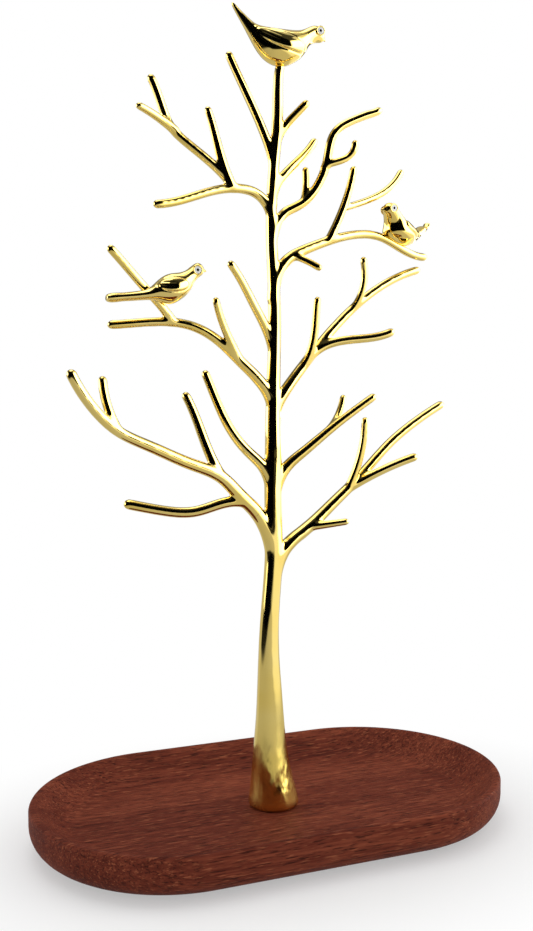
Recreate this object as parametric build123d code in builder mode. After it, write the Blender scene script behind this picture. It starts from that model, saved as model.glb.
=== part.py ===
"""Jewellery tree: a polished cast tree with three perched birds, screwed down on a dished hardwood tray."""

import os
from math import cos, radians, sin

from build123d import *

os.makedirs("parts", exist_ok=True)

# Tray, a slot outline with a round under-edge and a coved dish
TRAY_LENGTH = 180.0
TRAY_WIDTH = 102.5
TRAY_THICKNESS = 15.3
TRAY_UNDER_ROUND = 9.5
TRAY_RIM_ROUND = 1.3
RIM_WIDTH = 2.4
DISH_DEPTH = 8.5
DISH_WALL_ANGLE = 50.0
DISH_COVE_RADIUS = 14.0

# Anti-slip pads under the tray
PAD_DIAMETER = 12.0
PAD_THICKNESS = 1.2
PAD_EDGE_ROUND = 0.3
PAD_END_INSET = 28.0
PAD_SIDE_INSET = 26.25

# Base screw with its washers, in a counterbore under the tray
SCREW_DIAMETER = 5.0
SCREW_LENGTH = 14.0
SCREW_HEAD_DIAMETER = 10.0
SCREW_HEAD_HEIGHT = 2.0
SCREW_HEAD_ROUND = 0.9
DRIVE_WIDTH = 1.1
DRIVE_SPAN = 5.2
DRIVE_DEPTH = 1.2
SCREW_TIP_CHAMFER = 0.5
FLAT_WASHER_DIAMETER = 12.0
FLAT_WASHER_THICKNESS = 0.8
SPRING_WASHER_DIAMETER = 8.8
SPRING_WASHER_THICKNESS = 1.0
SPRING_WASHER_SLIT = 0.8
WASHER_BORE = 5.4
COUNTERBORE_DIAMETER = 13.0
HEAD_SINK = 0.4
SCREW_HOLE_DIAMETER = 5.6
TAPPED_HOLE_RUNOUT = 1.5

# Trunk
TRUNK_HEIGHT = 270.5
FOOT_DIAMETER = 18.5
TRUNK_SWAY = 2.6
KEY_DIAMETER = 2.0
KEY_LENGTH = 2.2
KEY_OFFSET = 6.2

# Crown: how far limbs reach sideways, and how far they lean to the front or back
CROWN_REACH = 75.0
CROWN_DEPTH = 10.0
COLLAR_REACH = 6.6
SPIGOT_SHARE = 0.46
SPIGOT_LENGTH = 3.6
SECTION_SPACING = 4.0
LIMB_TAPER = 2.0
SPIKE_TAPER = 1.2
TIP_DOME_SHARE = 0.96

# Birds and their perch pins
CROWN_BIRD_LENGTH = 36.3
CROWN_BIRD_HEIGHT = 15.2
CROWN_BIRD_WIDTH = 11.0
LEFT_BIRD_LENGTH = 35.9
LEFT_BIRD_HEIGHT = 14.6
LEFT_BIRD_WIDTH = 9.6
RIGHT_BIRD_LENGTH = 33.0
RIGHT_BIRD_HEIGHT = 15.0
RIGHT_BIRD_WIDTH = 9.6
WING_RELIEF_SHARE = 1.12
SECTION_STEP_ANGLE = 45
EYE_DIAMETER = 2.3
EYE_RELIEF = 0.35
BEAK_DIAMETER = 2.6
BEAK_TIP_DIAMETER = 0.5
BEAK_ROOT_DEPTH = 1.4
PERCH_PIN_DIAMETER = 1.2
PERCH_PIN_LENGTH = 4.6
CROWN_BIRD_RISE = 0.2
RIGHT_BIRD_SINK = 0.35
LEFT_BIRD_ASIDE = 2.9
LEFT_BIRD_FORWARD = 3.7
LEFT_BIRD_DROP = 2.25

# Clearances
BRAZE_GAP = 0.04
THREAD_GAP = 0.08
KEY_GAP = 0.1
PIN_END_GAP = 0.2
SADDLE_GAP = 0.05
CROWN_SEAT_GAP = 0.28
CUT_OVERRUN = 1.0

RIM_Z = PAD_THICKNESS + TRAY_THICKNESS
FLOOR_Z = RIM_Z - DISH_DEPTH
TRUNK_TOP_Z = FLOOR_Z + TRUNK_HEIGHT
FASTENER_STACK = FLAT_WASHER_THICKNESS + SPRING_WASHER_THICKNESS + SCREW_HEAD_HEIGHT
COUNTERBORE_DEPTH = FASTENER_STACK + HEAD_SINK
SCREW_SEAT_Z = PAD_THICKNESS + HEAD_SINK + SCREW_HEAD_HEIGHT

# Trunk centre line and girth: share of the height, share of the sway, share of the foot's diameter
TRUNK_SHARES = [
    (0.000, 0.00, 1.000),
    (0.036, -0.22, 0.895),
    (0.089, -0.50, 0.690),
    (0.146, -0.58, 0.525),
    (0.202, -0.73, 0.425),
    (0.259, -0.60, 0.376),
    (0.340, 0.00, 0.352),
    (0.436, -0.08, 0.335),
    (0.525, -0.04, 0.303),
    (0.573, 0.00, 0.268),
    (0.654, 0.19, 0.242),
    (0.773, -0.27, 0.210),
    (0.891, 0.31, 0.203),
    (0.961, 0.65, 0.195),
    (1.000, 1.00, 0.175),
]

# Limb centre lines: share of the reach, share of the depth, share of the trunk's height
LEFT_CROWN_SPIKE_SHARES = [
    (0.008, 0.00, 0.850), (-0.014, 0.02, 0.887), (-0.047, 0.07, 0.912), (-0.123, 0.23, 0.960),
    (-0.205, 0.40, 1.010),
]
LEFT_UPPER_SHARES = [
    (-0.009, 0.00, 0.790), (-0.030, 0.00, 0.816), (-0.082, 0.00, 0.830), (-0.175, -0.09, 0.835),
    (-0.285, -0.19, 0.831), (-0.434, -0.34, 0.817), (-0.598, -0.50, 0.805),
]
LEFT_UPPER_INNER_TWIG_SHARES = [
    (-0.214, -0.13, 0.834), (-0.257, -0.14, 0.860), (-0.296, -0.12, 0.897), (-0.334, -0.10, 0.932),
]
LEFT_UPPER_OUTER_TWIG_SHARES = [
    (-0.205, -0.12, 0.834), (-0.295, -0.08, 0.860), (-0.417, 0.03, 0.886), (-0.504, 0.12, 0.908),
    (-0.548, 0.21, 0.937), (-0.591, 0.30, 0.968),
]
LEFT_UPPER_SIDE_TWIG_SHARES = [(-0.480, 0.09, 0.902), (-0.547, 0.00, 0.913), (-0.670, -0.30, 0.926)]
LEFT_MIDDLE_SPIKE_SHARES = [
    (0.006, 0.00, 0.608), (-0.010, 0.00, 0.634), (-0.042, -0.03, 0.655), (-0.108, -0.15, 0.684),
    (-0.170, -0.27, 0.711), (-0.237, -0.40, 0.735),
]
LEFT_MIDDLE_SHARES = [
    (0.000, 0.00, 0.536), (-0.014, 0.00, 0.560), (-0.060, 0.00, 0.580), (-0.169, 0.07, 0.610),
    (-0.282, 0.15, 0.638), (-0.413, 0.22, 0.656), (-0.533, 0.28, 0.660), (-0.661, 0.34, 0.658),
    (-0.785, 0.40, 0.655),
]
LEFT_PERCH_TWIG_SHARES = [
    (-0.490, 0.25, 0.658), (-0.536, 0.19, 0.674), (-0.577, 0.13, 0.686), (-0.630, 0.06, 0.700),
    (-0.716, -0.07, 0.724), (-0.803, -0.20, 0.748),
]
LEFT_MIDDLE_TWIG_SHARES = [
    (-0.163, 0.07, 0.608), (-0.220, -0.04, 0.634), (-0.269, -0.16, 0.660), (-0.307, -0.30, 0.688),
]
LEFT_LOWER_SPIKE_SHARES = [
    (-0.003, 0.00, 0.418), (-0.016, 0.00, 0.446), (-0.053, 0.01, 0.468), (-0.127, 0.10, 0.489),
    (-0.209, 0.23, 0.518), (-0.273, 0.36, 0.555), (-0.325, 0.50, 0.593),
]
LEFT_LOWER_SHARES = [
    (0.000, 0.00, 0.340), (-0.022, 0.00, 0.373), (-0.081, 0.00, 0.404), (-0.178, -0.06, 0.431),
    (-0.278, -0.13, 0.457), (-0.428, -0.21, 0.475), (-0.636, -0.33, 0.500), (-0.786, -0.41, 0.520),
    (-0.888, -0.49, 0.545), (-1.000, -0.60, 0.591),
]
LEFT_LOWER_OUTER_TWIG_SHARES = [(-0.782, -0.40, 0.520), (-0.818, -0.30, 0.542), (-0.845, -0.10, 0.584)]
LEFT_LOWER_INNER_TWIG_SHARES = [
    (-0.262, -0.12, 0.453), (-0.314, -0.04, 0.478), (-0.370, 0.12, 0.520), (-0.432, 0.30, 0.564),
]
LEFT_LOWER_BRANCH_SHARES = [
    (-0.135, -0.03, 0.420), (-0.266, 0.01, 0.421), (-0.396, 0.16, 0.411), (-0.539, 0.31, 0.413),
    (-0.709, 0.50, 0.423),
]
RIGHT_CROWN_SPIKE_SHARES = [
    (0.010, 0.00, 0.878), (0.020, 0.00, 0.903), (0.052, -0.02, 0.919), (0.099, -0.15, 0.935),
    (0.152, -0.30, 0.951),
]
RIGHT_UPPER_SPIKE_SHARES = [
    (-0.003, 0.00, 0.816), (0.014, 0.01, 0.842), (0.060, 0.04, 0.859), (0.145, 0.19, 0.881),
    (0.237, 0.40, 0.909),
]
RIGHT_UPPER_SHARES = [
    (-0.009, 0.00, 0.758), (0.010, 0.00, 0.788), (0.055, 0.00, 0.807), (0.136, -0.06, 0.820),
    (0.216, -0.14, 0.843), (0.268, -0.24, 0.880), (0.304, -0.33, 0.917), (0.376, -0.39, 0.932),
    (0.529, -0.50, 0.950),
]
RIGHT_UPPER_INNER_TWIG_SHARES = [(0.152, -0.08, 0.822), (0.168, -0.01, 0.841), (0.177, 0.15, 0.868)]
RIGHT_UPPER_OUTER_TWIG_SHARES = [
    (0.246, -0.21, 0.868), (0.299, -0.35, 0.877), (0.357, -0.45, 0.883), (0.395, -0.60, 0.903),
]
RIGHT_BIRD_LIMB_SHARES = [
    (0.002, 0.00, 0.690), (0.014, 0.00, 0.720), (0.061, 0.00, 0.743), (0.160, 0.07, 0.760),
    (0.297, 0.16, 0.775), (0.466, 0.26, 0.787), (0.602, 0.34, 0.786), (0.735, 0.42, 0.771),
    (0.868, 0.50, 0.762),
]
RIGHT_BIRD_UPRIGHT_TWIG_SHARES = [
    (0.297, 0.15, 0.773), (0.338, 0.04, 0.798), (0.380, -0.06, 0.829), (0.414, -0.20, 0.872),
]
RIGHT_BIRD_SIDE_TWIG_SHARES = [
    (0.368, -0.03, 0.819), (0.449, 0.09, 0.827), (0.550, 0.19, 0.838), (0.721, 0.40, 0.878),
]
RIGHT_BIRD_STUB_SHARES = [(0.105, 0.03, 0.752), (0.150, -0.24, 0.746), (0.205, -0.60, 0.735)]
RIGHT_MIDDLE_SHARES = [
    (0.000, 0.00, 0.520), (0.014, 0.00, 0.548), (0.061, 0.00, 0.570), (0.170, 0.09, 0.607),
    (0.290, 0.18, 0.644), (0.434, 0.29, 0.682), (0.628, 0.40, 0.720), (0.827, 0.50, 0.743),
]
RIGHT_MIDDLE_INNER_TWIG_SHARES = [
    (0.150, 0.07, 0.600), (0.196, -0.07, 0.626), (0.210, -0.23, 0.660), (0.210, -0.40, 0.693),
]
RIGHT_MIDDLE_UPRIGHT_TWIG_SHARES = [(0.430, 0.27, 0.680), (0.477, 0.14, 0.702), (0.479, -0.10, 0.751)]
RIGHT_MIDDLE_SIDE_TWIG_SHARES = [
    (0.212, 0.12, 0.619), (0.313, -0.01, 0.636), (0.446, -0.18, 0.642), (0.615, -0.40, 0.652),
]
RIGHT_LOWER_FORK_SHARES = [
    (-0.002, 0.00, 0.412), (0.014, 0.00, 0.440), (0.056, -0.01, 0.463), (0.151, -0.11, 0.487),
    (0.298, -0.28, 0.520), (0.509, -0.50, 0.562),
]
RIGHT_LOWER_FORK_TWIG_SHARES = [(0.280, -0.26, 0.516), (0.341, -0.03, 0.533), (0.389, 0.20, 0.561)]
RIGHT_LOWER_SHARES = [
    (-0.004, 0.00, 0.298), (0.014, 0.00, 0.331), (0.059, 0.00, 0.355), (0.177, 0.08, 0.380),
    (0.342, 0.19, 0.416), (0.495, 0.29, 0.451), (0.663, 0.41, 0.494), (0.823, 0.51, 0.525),
    (0.985, 0.60, 0.550),
]
RIGHT_LOWER_UPRIGHT_TWIG_SHARES = [(0.415, 0.24, 0.430), (0.460, 0.06, 0.464), (0.486, -0.20, 0.530)]
RIGHT_LOWER_SIDE_TWIG_SHARES = [(0.430, 0.24, 0.434), (0.542, 0.00, 0.452), (0.754, -0.40, 0.477)]
RIGHT_LOWER_STUB_SHARES = [(0.190, 0.09, 0.383), (0.256, -0.18, 0.386), (0.357, -0.60, 0.391)]

# Rod thicknesses: diameter at the root and at the tip
LOWER_LIMB_ROOT = 6.0
LEFT_LOWER_TIP = 3.6
RIGHT_LOWER_TIP = 3.2
FORK_ROOT = 5.1
FORK_TIP = 2.9
MIDDLE_LIMB_ROOT = 4.7
MIDDLE_LIMB_TIP = 3.0
UPPER_LIMB_ROOT = 3.8
UPPER_LIMB_TIP = 2.9
BIRD_LIMB_ROOT = 4.5
SPIKE_ROOT = 3.4
SPIKE_TIP = 2.8
LOWER_SPIKE_ROOT = 5.0
LOWER_SPIKE_TIP = 3.0
MIDDLE_SPIKE_ROOT = 3.8
TWIG_ROOT = 3.2
TWIG_TIP = 2.5
BROAD_TWIG_ROOT = 3.9
BROAD_TWIG_TIP = 3.1

# Bird sections: share of the length along the body, low edge and high edge as shares of the height,
# half width as a share of the width
CROWN_BIRD_SHARES = [
    (-0.506, 1.235, 1.280, 0.05), (-0.450, 1.010, 1.190, 0.10), (-0.388, 0.790, 1.068, 0.14),
    (-0.335, 0.600, 0.965, 0.19), (-0.272, 0.375, 0.870, 0.26), (-0.190, 0.145, 0.825, 0.37),
    (-0.095, 0.005, 0.815, 0.46), (0.010, -0.030, 0.814, 0.50), (0.110, 0.040, 0.820, 0.48),
    (0.210, 0.225, 0.850, 0.40), (0.295, 0.490, 0.935, 0.31), (0.356, 0.600, 0.995, 0.28),
    (0.415, 0.630, 0.985, 0.23), (0.462, 0.670, 0.915, 0.13),
]
LEFT_BIRD_SHARES = [
    (-0.574, 0.020, 0.170, 0.20), (-0.540, -0.005, 0.200, 0.22), (-0.440, 0.018, 0.225, 0.23),
    (-0.340, 0.042, 0.252, 0.24), (-0.250, 0.062, 0.285, 0.26), (-0.190, 0.074, 0.322, 0.28),
    (-0.145, 0.078, 0.380, 0.31), (-0.099, 0.070, 0.475, 0.36), (-0.049, 0.043, 0.586, 0.42),
    (0.001, 0.010, 0.666, 0.47), (0.056, 0.000, 0.715, 0.50), (0.111, 0.046, 0.735, 0.49),
    (0.172, 0.150, 0.765, 0.44), (0.223, 0.282, 0.825, 0.37), (0.262, 0.415, 0.900, 0.32),
    (0.296, 0.545, 0.962, 0.29), (0.330, 0.637, 0.992, 0.26), (0.361, 0.692, 0.965, 0.20),
    (0.384, 0.750, 0.905, 0.11),
]
RIGHT_BIRD_SHARES = [
    (-0.640, 0.660, 0.790, 0.19), (-0.500, 0.450, 0.640, 0.23), (-0.370, 0.290, 0.520, 0.25),
    (-0.270, 0.165, 0.470, 0.30), (-0.160, 0.060, 0.515, 0.40), (-0.045, 0.005, 0.610, 0.48),
    (0.076, 0.030, 0.710, 0.50), (0.167, 0.150, 0.820, 0.45), (0.236, 0.390, 0.950, 0.36),
    (0.291, 0.600, 1.000, 0.30), (0.339, 0.700, 0.965, 0.23), (0.372, 0.770, 0.900, 0.12),
]
# Wing pad: centre along and up, half length and half height, as shares of the length and the height
CROWN_WING_SHARES = (-0.030, 0.500, 0.250, 0.190)
LEFT_WING_SHARES = (0.060, 0.440, 0.145, 0.165)
RIGHT_WING_SHARES = (-0.050, 0.420, 0.200, 0.165)
CROWN_WING_TILT = -18.0
LEFT_WING_TILT = 3.0
RIGHT_WING_TILT = 14.0
# Eye and beak: place along and up as shares of the length and the height
CROWN_EYE_SHARES = (0.395, 0.835)
LEFT_EYE_SHARES = (0.303, 0.807)
RIGHT_EYE_SHARES = (0.297, 0.840)
CROWN_BEAK_SHARES = ((0.445, 0.800), (0.490, 0.670))
LEFT_BEAK_SHARES = ((0.365, 0.835), (0.420, 0.800))
RIGHT_BEAK_SHARES = ((0.358, 0.830), (0.418, 0.800))
RIGHT_BIRD_TURN = 213.0
RIGHT_HEAD_TURN = -28.0
STRAIGHT_HEAD_TURN = 0.0
LEFT_PERCH_PLACE_SHARE = 0.34
RIGHT_PERCH_PLACE_SHARE = 0.866


def crown_point(point_shares):
    """A place in the crown, measured from the middle of the trunk's foot."""
    reach_share, depth_share, rise_share = point_shares
    rise = FLOOR_Z + rise_share * TRUNK_HEIGHT
    return Vector(reach_share * CROWN_REACH, depth_share * CROWN_DEPTH, rise)


def centre_line(line_shares):
    """The smooth centre line of a limb or twig."""
    with BuildLine() as line:
        Spline(*[crown_point(point_shares) for point_shares in line_shares])
    return line.edge()


def cross_plane(line, along):
    """The plane square to a centre line, with its first axis kept near the front to back axis."""
    tangent = line % along
    sideways = Vector(0, 1, 0) - tangent * tangent.Y
    return Plane(origin=line @ along, x_dir=sideways.normalized(), z_dir=tangent)


def rod_diameter(along, root_diameter, tip_diameter, taper):
    """Thickness of a rod: stout at the root, nearly even further out."""
    return tip_diameter + (root_diameter - tip_diameter) * (1 - along) ** taper


def rod(line, root_diameter, tip_diameter, taper, start, end, extra):
    """A round tapered rod along part of a centre line, with a domed tip where it ends free."""
    count = max(4, round(line.length * (end - start) / SECTION_SPACING) + 1)
    with BuildPart() as body:
        for index in range(count):
            along = start + (end - start) * index / (count - 1)
            with BuildSketch(cross_plane(line, along)):
                Circle(rod_diameter(along, root_diameter, tip_diameter, taper) / 2 + extra)
        loft()
        if end == 1:
            with Locations(cross_plane(line, end).location):
                Sphere(tip_diameter / 2 * TIP_DOME_SHARE + extra, arc_size1=0, align=None)
    return body.part


def collar_end(line):
    """How far along its centre line a limb leaves the trunk's branch collar."""
    low = 0.0
    high = 1.0
    while high - low > 0.001:
        middle = (low + high) / 2
        place = line @ middle
        if Vector(place.X, place.Y, 0).length < COLLAR_REACH:
            low = middle
        else:
            high = middle
    return high


# Each limb: name, centre line, root, tip and taper, then its twigs with root and tip
LIMBS = [
    ("left_crown_spike", LEFT_CROWN_SPIKE_SHARES, SPIKE_ROOT, SPIKE_TIP, SPIKE_TAPER, []),
    ("left_upper_limb", LEFT_UPPER_SHARES, UPPER_LIMB_ROOT, UPPER_LIMB_TIP, LIMB_TAPER, [
        (LEFT_UPPER_INNER_TWIG_SHARES, BROAD_TWIG_ROOT, TWIG_TIP),
        (LEFT_UPPER_OUTER_TWIG_SHARES, TWIG_ROOT, UPPER_LIMB_TIP),
        (LEFT_UPPER_SIDE_TWIG_SHARES, TWIG_ROOT, TWIG_TIP),
    ]),
    ("left_middle_spike", LEFT_MIDDLE_SPIKE_SHARES, MIDDLE_SPIKE_ROOT, SPIKE_TIP, SPIKE_TAPER, []),
    ("left_middle_limb", LEFT_MIDDLE_SHARES, MIDDLE_LIMB_ROOT, MIDDLE_LIMB_TIP, LIMB_TAPER, [
        (LEFT_PERCH_TWIG_SHARES, TWIG_ROOT, UPPER_LIMB_TIP),
        (LEFT_MIDDLE_TWIG_SHARES, TWIG_ROOT, TWIG_TIP),
    ]),
    ("left_lower_spike", LEFT_LOWER_SPIKE_SHARES, LOWER_SPIKE_ROOT, LOWER_SPIKE_TIP, LIMB_TAPER, []),
    ("left_lower_limb", LEFT_LOWER_SHARES, LOWER_LIMB_ROOT, LEFT_LOWER_TIP, LIMB_TAPER, [
        (LEFT_LOWER_OUTER_TWIG_SHARES, TWIG_ROOT, BROAD_TWIG_TIP),
        (LEFT_LOWER_INNER_TWIG_SHARES, BROAD_TWIG_ROOT, BROAD_TWIG_TIP),
        (LEFT_LOWER_BRANCH_SHARES, BROAD_TWIG_ROOT, LEFT_LOWER_TIP),
    ]),
    ("right_crown_spike", RIGHT_CROWN_SPIKE_SHARES, SPIKE_ROOT, SPIKE_TIP, SPIKE_TAPER, []),
    ("right_upper_spike", RIGHT_UPPER_SPIKE_SHARES, SPIKE_ROOT, SPIKE_TIP, SPIKE_TAPER, []),
    ("right_upper_limb", RIGHT_UPPER_SHARES, UPPER_LIMB_ROOT, UPPER_LIMB_TIP, LIMB_TAPER, [
        (RIGHT_UPPER_INNER_TWIG_SHARES, TWIG_TIP, TWIG_TIP),
        (RIGHT_UPPER_OUTER_TWIG_SHARES, TWIG_TIP, TWIG_TIP),
    ]),
    ("right_bird_limb", RIGHT_BIRD_LIMB_SHARES, BIRD_LIMB_ROOT, UPPER_LIMB_TIP, LIMB_TAPER, [
        (RIGHT_BIRD_UPRIGHT_TWIG_SHARES, TWIG_ROOT, TWIG_TIP),
        (RIGHT_BIRD_SIDE_TWIG_SHARES, TWIG_TIP, TWIG_TIP),
        (RIGHT_BIRD_STUB_SHARES, TWIG_TIP, TWIG_TIP),
    ]),
    ("right_middle_limb", RIGHT_MIDDLE_SHARES, MIDDLE_LIMB_ROOT, MIDDLE_LIMB_TIP, LIMB_TAPER, [
        (RIGHT_MIDDLE_INNER_TWIG_SHARES, TWIG_ROOT, TWIG_TIP),
        (RIGHT_MIDDLE_UPRIGHT_TWIG_SHARES, TWIG_TIP, TWIG_TIP),
        (RIGHT_MIDDLE_SIDE_TWIG_SHARES, TWIG_ROOT, BROAD_TWIG_TIP),
    ]),
    ("right_lower_fork", RIGHT_LOWER_FORK_SHARES, FORK_ROOT, FORK_TIP, LIMB_TAPER, [
        (RIGHT_LOWER_FORK_TWIG_SHARES, TWIG_ROOT, TWIG_TIP),
    ]),
    ("right_lower_limb", RIGHT_LOWER_SHARES, LOWER_LIMB_ROOT, RIGHT_LOWER_TIP, LIMB_TAPER, [
        (RIGHT_LOWER_UPRIGHT_TWIG_SHARES, TWIG_ROOT, TWIG_TIP),
        (RIGHT_LOWER_SIDE_TWIG_SHARES, TWIG_ROOT, BROAD_TWIG_TIP),
        (RIGHT_LOWER_STUB_SHARES, TWIG_ROOT, TWIG_TIP),
    ]),
]

# Where each bird is pinned: on the trunk's tip, behind the left bird and under the right bird
left_perch_line = centre_line(LEFT_PERCH_TWIG_SHARES)
right_perch_line = centre_line(RIGHT_BIRD_LIMB_SHARES)
crown_perch = Vector(TRUNK_SWAY, 0, TRUNK_TOP_Z)
left_perch = left_perch_line @ LEFT_PERCH_PLACE_SHARE
right_perch = right_perch_line @ RIGHT_PERCH_PLACE_SHARE
crown_pin_plane = Plane(origin=crown_perch, z_dir=(0, 0, 1)).offset(-PERCH_PIN_LENGTH / 2)
left_pin_plane = Plane(origin=left_perch, z_dir=(0, -1, 0)).offset(-UPPER_LIMB_TIP / 4)
right_pin_plane = Plane(origin=right_perch, z_dir=(0, 0, 1)).offset(-UPPER_LIMB_TIP / 4)


def pin_hole(pin_plane):
    """The hole that a perch pin fills, a little wider and deeper than the pin."""
    with BuildPart() as hole:
        with BuildSketch(pin_plane.offset(-PIN_END_GAP)):
            Circle(PERCH_PIN_DIAMETER / 2 + BRAZE_GAP)
        extrude(amount=PERCH_PIN_LENGTH + 2 * PIN_END_GAP)
    return hole.part


# Tray
with BuildPart() as tray:
    with BuildSketch(Plane.XY.offset(PAD_THICKNESS)):
        SlotOverall(TRAY_LENGTH, TRAY_WIDTH)
    extrude(amount=TRAY_THICKNESS)
    with BuildSketch(Plane.XY.offset(RIM_Z)):
        SlotOverall(TRAY_LENGTH - 2 * RIM_WIDTH, TRAY_WIDTH - 2 * RIM_WIDTH)
    extrude(amount=-DISH_DEPTH, taper=DISH_WALL_ANGLE, mode=Mode.SUBTRACT)
    fillet(tray.edges().group_by(Axis.Z)[0], TRAY_UNDER_ROUND)
    floor_edges = tray.faces().filter_by(Plane.XY).sort_by(Axis.Z)[-2].edges()
    fillet(floor_edges, DISH_COVE_RADIUS)
    rim_edges = tray.edges().group_by(Axis.Z)[-1]
    fillet(rim_edges, TRAY_RIM_ROUND)
    with BuildSketch(Plane.XY.offset(PAD_THICKNESS)):
        Circle(COUNTERBORE_DIAMETER / 2)
    extrude(amount=COUNTERBORE_DEPTH, mode=Mode.SUBTRACT)
    with BuildSketch(Plane.XY.offset(PAD_THICKNESS)):
        Circle(SCREW_HOLE_DIAMETER / 2)
    extrude(amount=TRAY_THICKNESS, mode=Mode.SUBTRACT)
    with BuildSketch(Plane.XY.offset(FLOOR_Z)):
        with Locations((KEY_OFFSET, 0)):
            Circle(KEY_DIAMETER / 2 + KEY_GAP)
    extrude(amount=-KEY_LENGTH - KEY_GAP, mode=Mode.SUBTRACT)
tray.part.label = "tray"
export_step(tray.part, "parts/tray.step")

# Trunk with its branch collars, key, tapped hole and sockets
limb_lines = [centre_line(limb[1]) for limb in LIMBS]
collar_ends = [collar_end(line) for line in limb_lines]
collars = [
    rod(line, limb[2], limb[3], limb[4], 0, end, 0)
    for limb, line, end in zip(LIMBS, limb_lines, collar_ends)
]
with BuildPart() as trunk:
    for rise_share, sway_share, girth_share in TRUNK_SHARES:
        level = Plane.XY.offset(FLOOR_Z + rise_share * TRUNK_HEIGHT)
        with BuildSketch(level):
            with Locations((sway_share * TRUNK_SWAY, 0)):
                Circle(girth_share * FOOT_DIAMETER / 2)
    loft()
    for collar in collars:
        add(collar)
    with BuildSketch(Plane.XY.offset(FLOOR_Z)):
        with Locations((KEY_OFFSET, 0)):
            Circle(KEY_DIAMETER / 2)
    extrude(amount=-KEY_LENGTH)
    with BuildSketch(Plane.XY.offset(FLOOR_Z)):
        Circle(SCREW_DIAMETER / 2 + THREAD_GAP)
    extrude(amount=SCREW_SEAT_Z + SCREW_LENGTH + TAPPED_HOLE_RUNOUT - FLOOR_Z, mode=Mode.SUBTRACT)
    for limb, line, end in zip(LIMBS, limb_lines, collar_ends):
        spigot_diameter = rod_diameter(end, limb[2], limb[3], limb[4]) * SPIGOT_SHARE
        with BuildSketch(cross_plane(line, end)):
            Circle(spigot_diameter / 2 + BRAZE_GAP)
        extrude(amount=-SPIGOT_LENGTH - PIN_END_GAP, mode=Mode.SUBTRACT)
    add(pin_hole(crown_pin_plane), mode=Mode.SUBTRACT)
trunk.part.label = "trunk"
export_step(trunk.part, "parts/trunk.step")

# Limbs, each with its twigs and a spigot for its socket in the collar
for limb, line, end in zip(LIMBS, limb_lines, collar_ends):
    limb_name, limb_shares, root_diameter, tip_diameter, taper, twigs = limb
    stem = rod(line, root_diameter, tip_diameter, taper, end, 1, 0)
    twig_rods = [
        rod(centre_line(twig_shares), twig_root, twig_tip, SPIKE_TAPER, 0, 1, 0)
        for twig_shares, twig_root, twig_tip in twigs
    ]
    with BuildPart() as limb_part:
        add(stem)
        for twig_rod in twig_rods:
            add(twig_rod)
        spigot_diameter = rod_diameter(end, root_diameter, tip_diameter, taper) * SPIGOT_SHARE
        with BuildSketch(cross_plane(line, end)):
            Circle(spigot_diameter / 2)
        extrude(amount=-SPIGOT_LENGTH)
        if limb_name == "left_middle_limb":
            add(pin_hole(left_pin_plane), mode=Mode.SUBTRACT)
        if limb_name == "right_bird_limb":
            add(pin_hole(right_pin_plane), mode=Mode.SUBTRACT)
    limb_part.part.label = limb_name
    export_step(limb_part.part, "parts/" + limb_name + ".step")


def bird_section(station, half_width, half_height):
    """An oval face square to the bird's length, drawn from the same side each time."""
    outline = [
        (half_width * cos(radians(angle)), half_height * sin(radians(angle)))
        for angle in range(0, 360, SECTION_STEP_ANGLE)
    ]
    with BuildSketch(Plane(origin=station, x_dir=(0, 1, 0), z_dir=(1, 0, 0))) as section:
        with BuildLine():
            Spline(*outline, periodic=True)
        make_face()
    return section.sketch


def bird_body(section_shares, length, height, width):
    """The lofted body of a bird from its tail to its brow, perch at the origin and beak towards +X."""
    sections = []
    for along_share, low_share, high_share, half_share in section_shares:
        station = Vector(along_share * length, 0, (low_share + high_share) / 2 * height)
        sections.append(bird_section(station, half_share * width, (high_share - low_share) / 2 * height))
    with BuildPart() as body:
        loft(sections)
    return body.part


def bird_face(eye_shares, beak_shares, length, height, head_half):
    """Eyes and beak, placed round the head's upright axis."""
    eye_along, eye_up = eye_shares
    beak_root, beak_tip = [
        Vector((along_share - eye_along) * length, 0, up_share * height)
        for along_share, up_share in beak_shares
    ]
    beak_way = (beak_tip - beak_root).normalized()
    with BuildPart() as face:
        with BuildSketch(Plane.XZ):
            with Locations((0, eye_up * height)):
                Circle(EYE_DIAMETER / 2)
        extrude(amount=head_half + EYE_RELIEF, both=True)
        with BuildSketch(Plane(origin=beak_root - beak_way * BEAK_ROOT_DEPTH, z_dir=beak_way)):
            Circle(BEAK_DIAMETER / 2)
        with BuildSketch(Plane(origin=beak_tip, z_dir=beak_way)):
            Circle(BEAK_TIP_DIAMETER / 2)
        loft()
    return face.part


def bird(section_shares, wing_shares, wing_tilt, eye_shares, beak_shares, head_turn, length, height, width):
    """A bird with wing pads, eyes and a beak."""
    body = bird_body(section_shares, length, height, width)
    broad_body = bird_body(section_shares, length, height, width * WING_RELIEF_SHARE)
    wing_along, wing_up, wing_half, wing_rise = wing_shares
    with BuildPart() as wings:
        with BuildSketch(Plane.XZ):
            with Locations((wing_along * length, wing_up * height)):
                Ellipse(wing_half * length, wing_rise * height, rotation=wing_tilt)
        extrude(amount=width, both=True)
        add(broad_body, mode=Mode.INTERSECT)
    eye_along = eye_shares[0]
    head_half = [s[3] for s in section_shares if s[0] <= eye_along][-1] * width
    with BuildPart() as whole:
        add(body)
        add(wings.part)
        with Locations(Location((eye_along * length, 0, 0), (0, 0, head_turn))):
            add(bird_face(eye_shares, beak_shares, length, height, head_half))
    return whole.part


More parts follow.
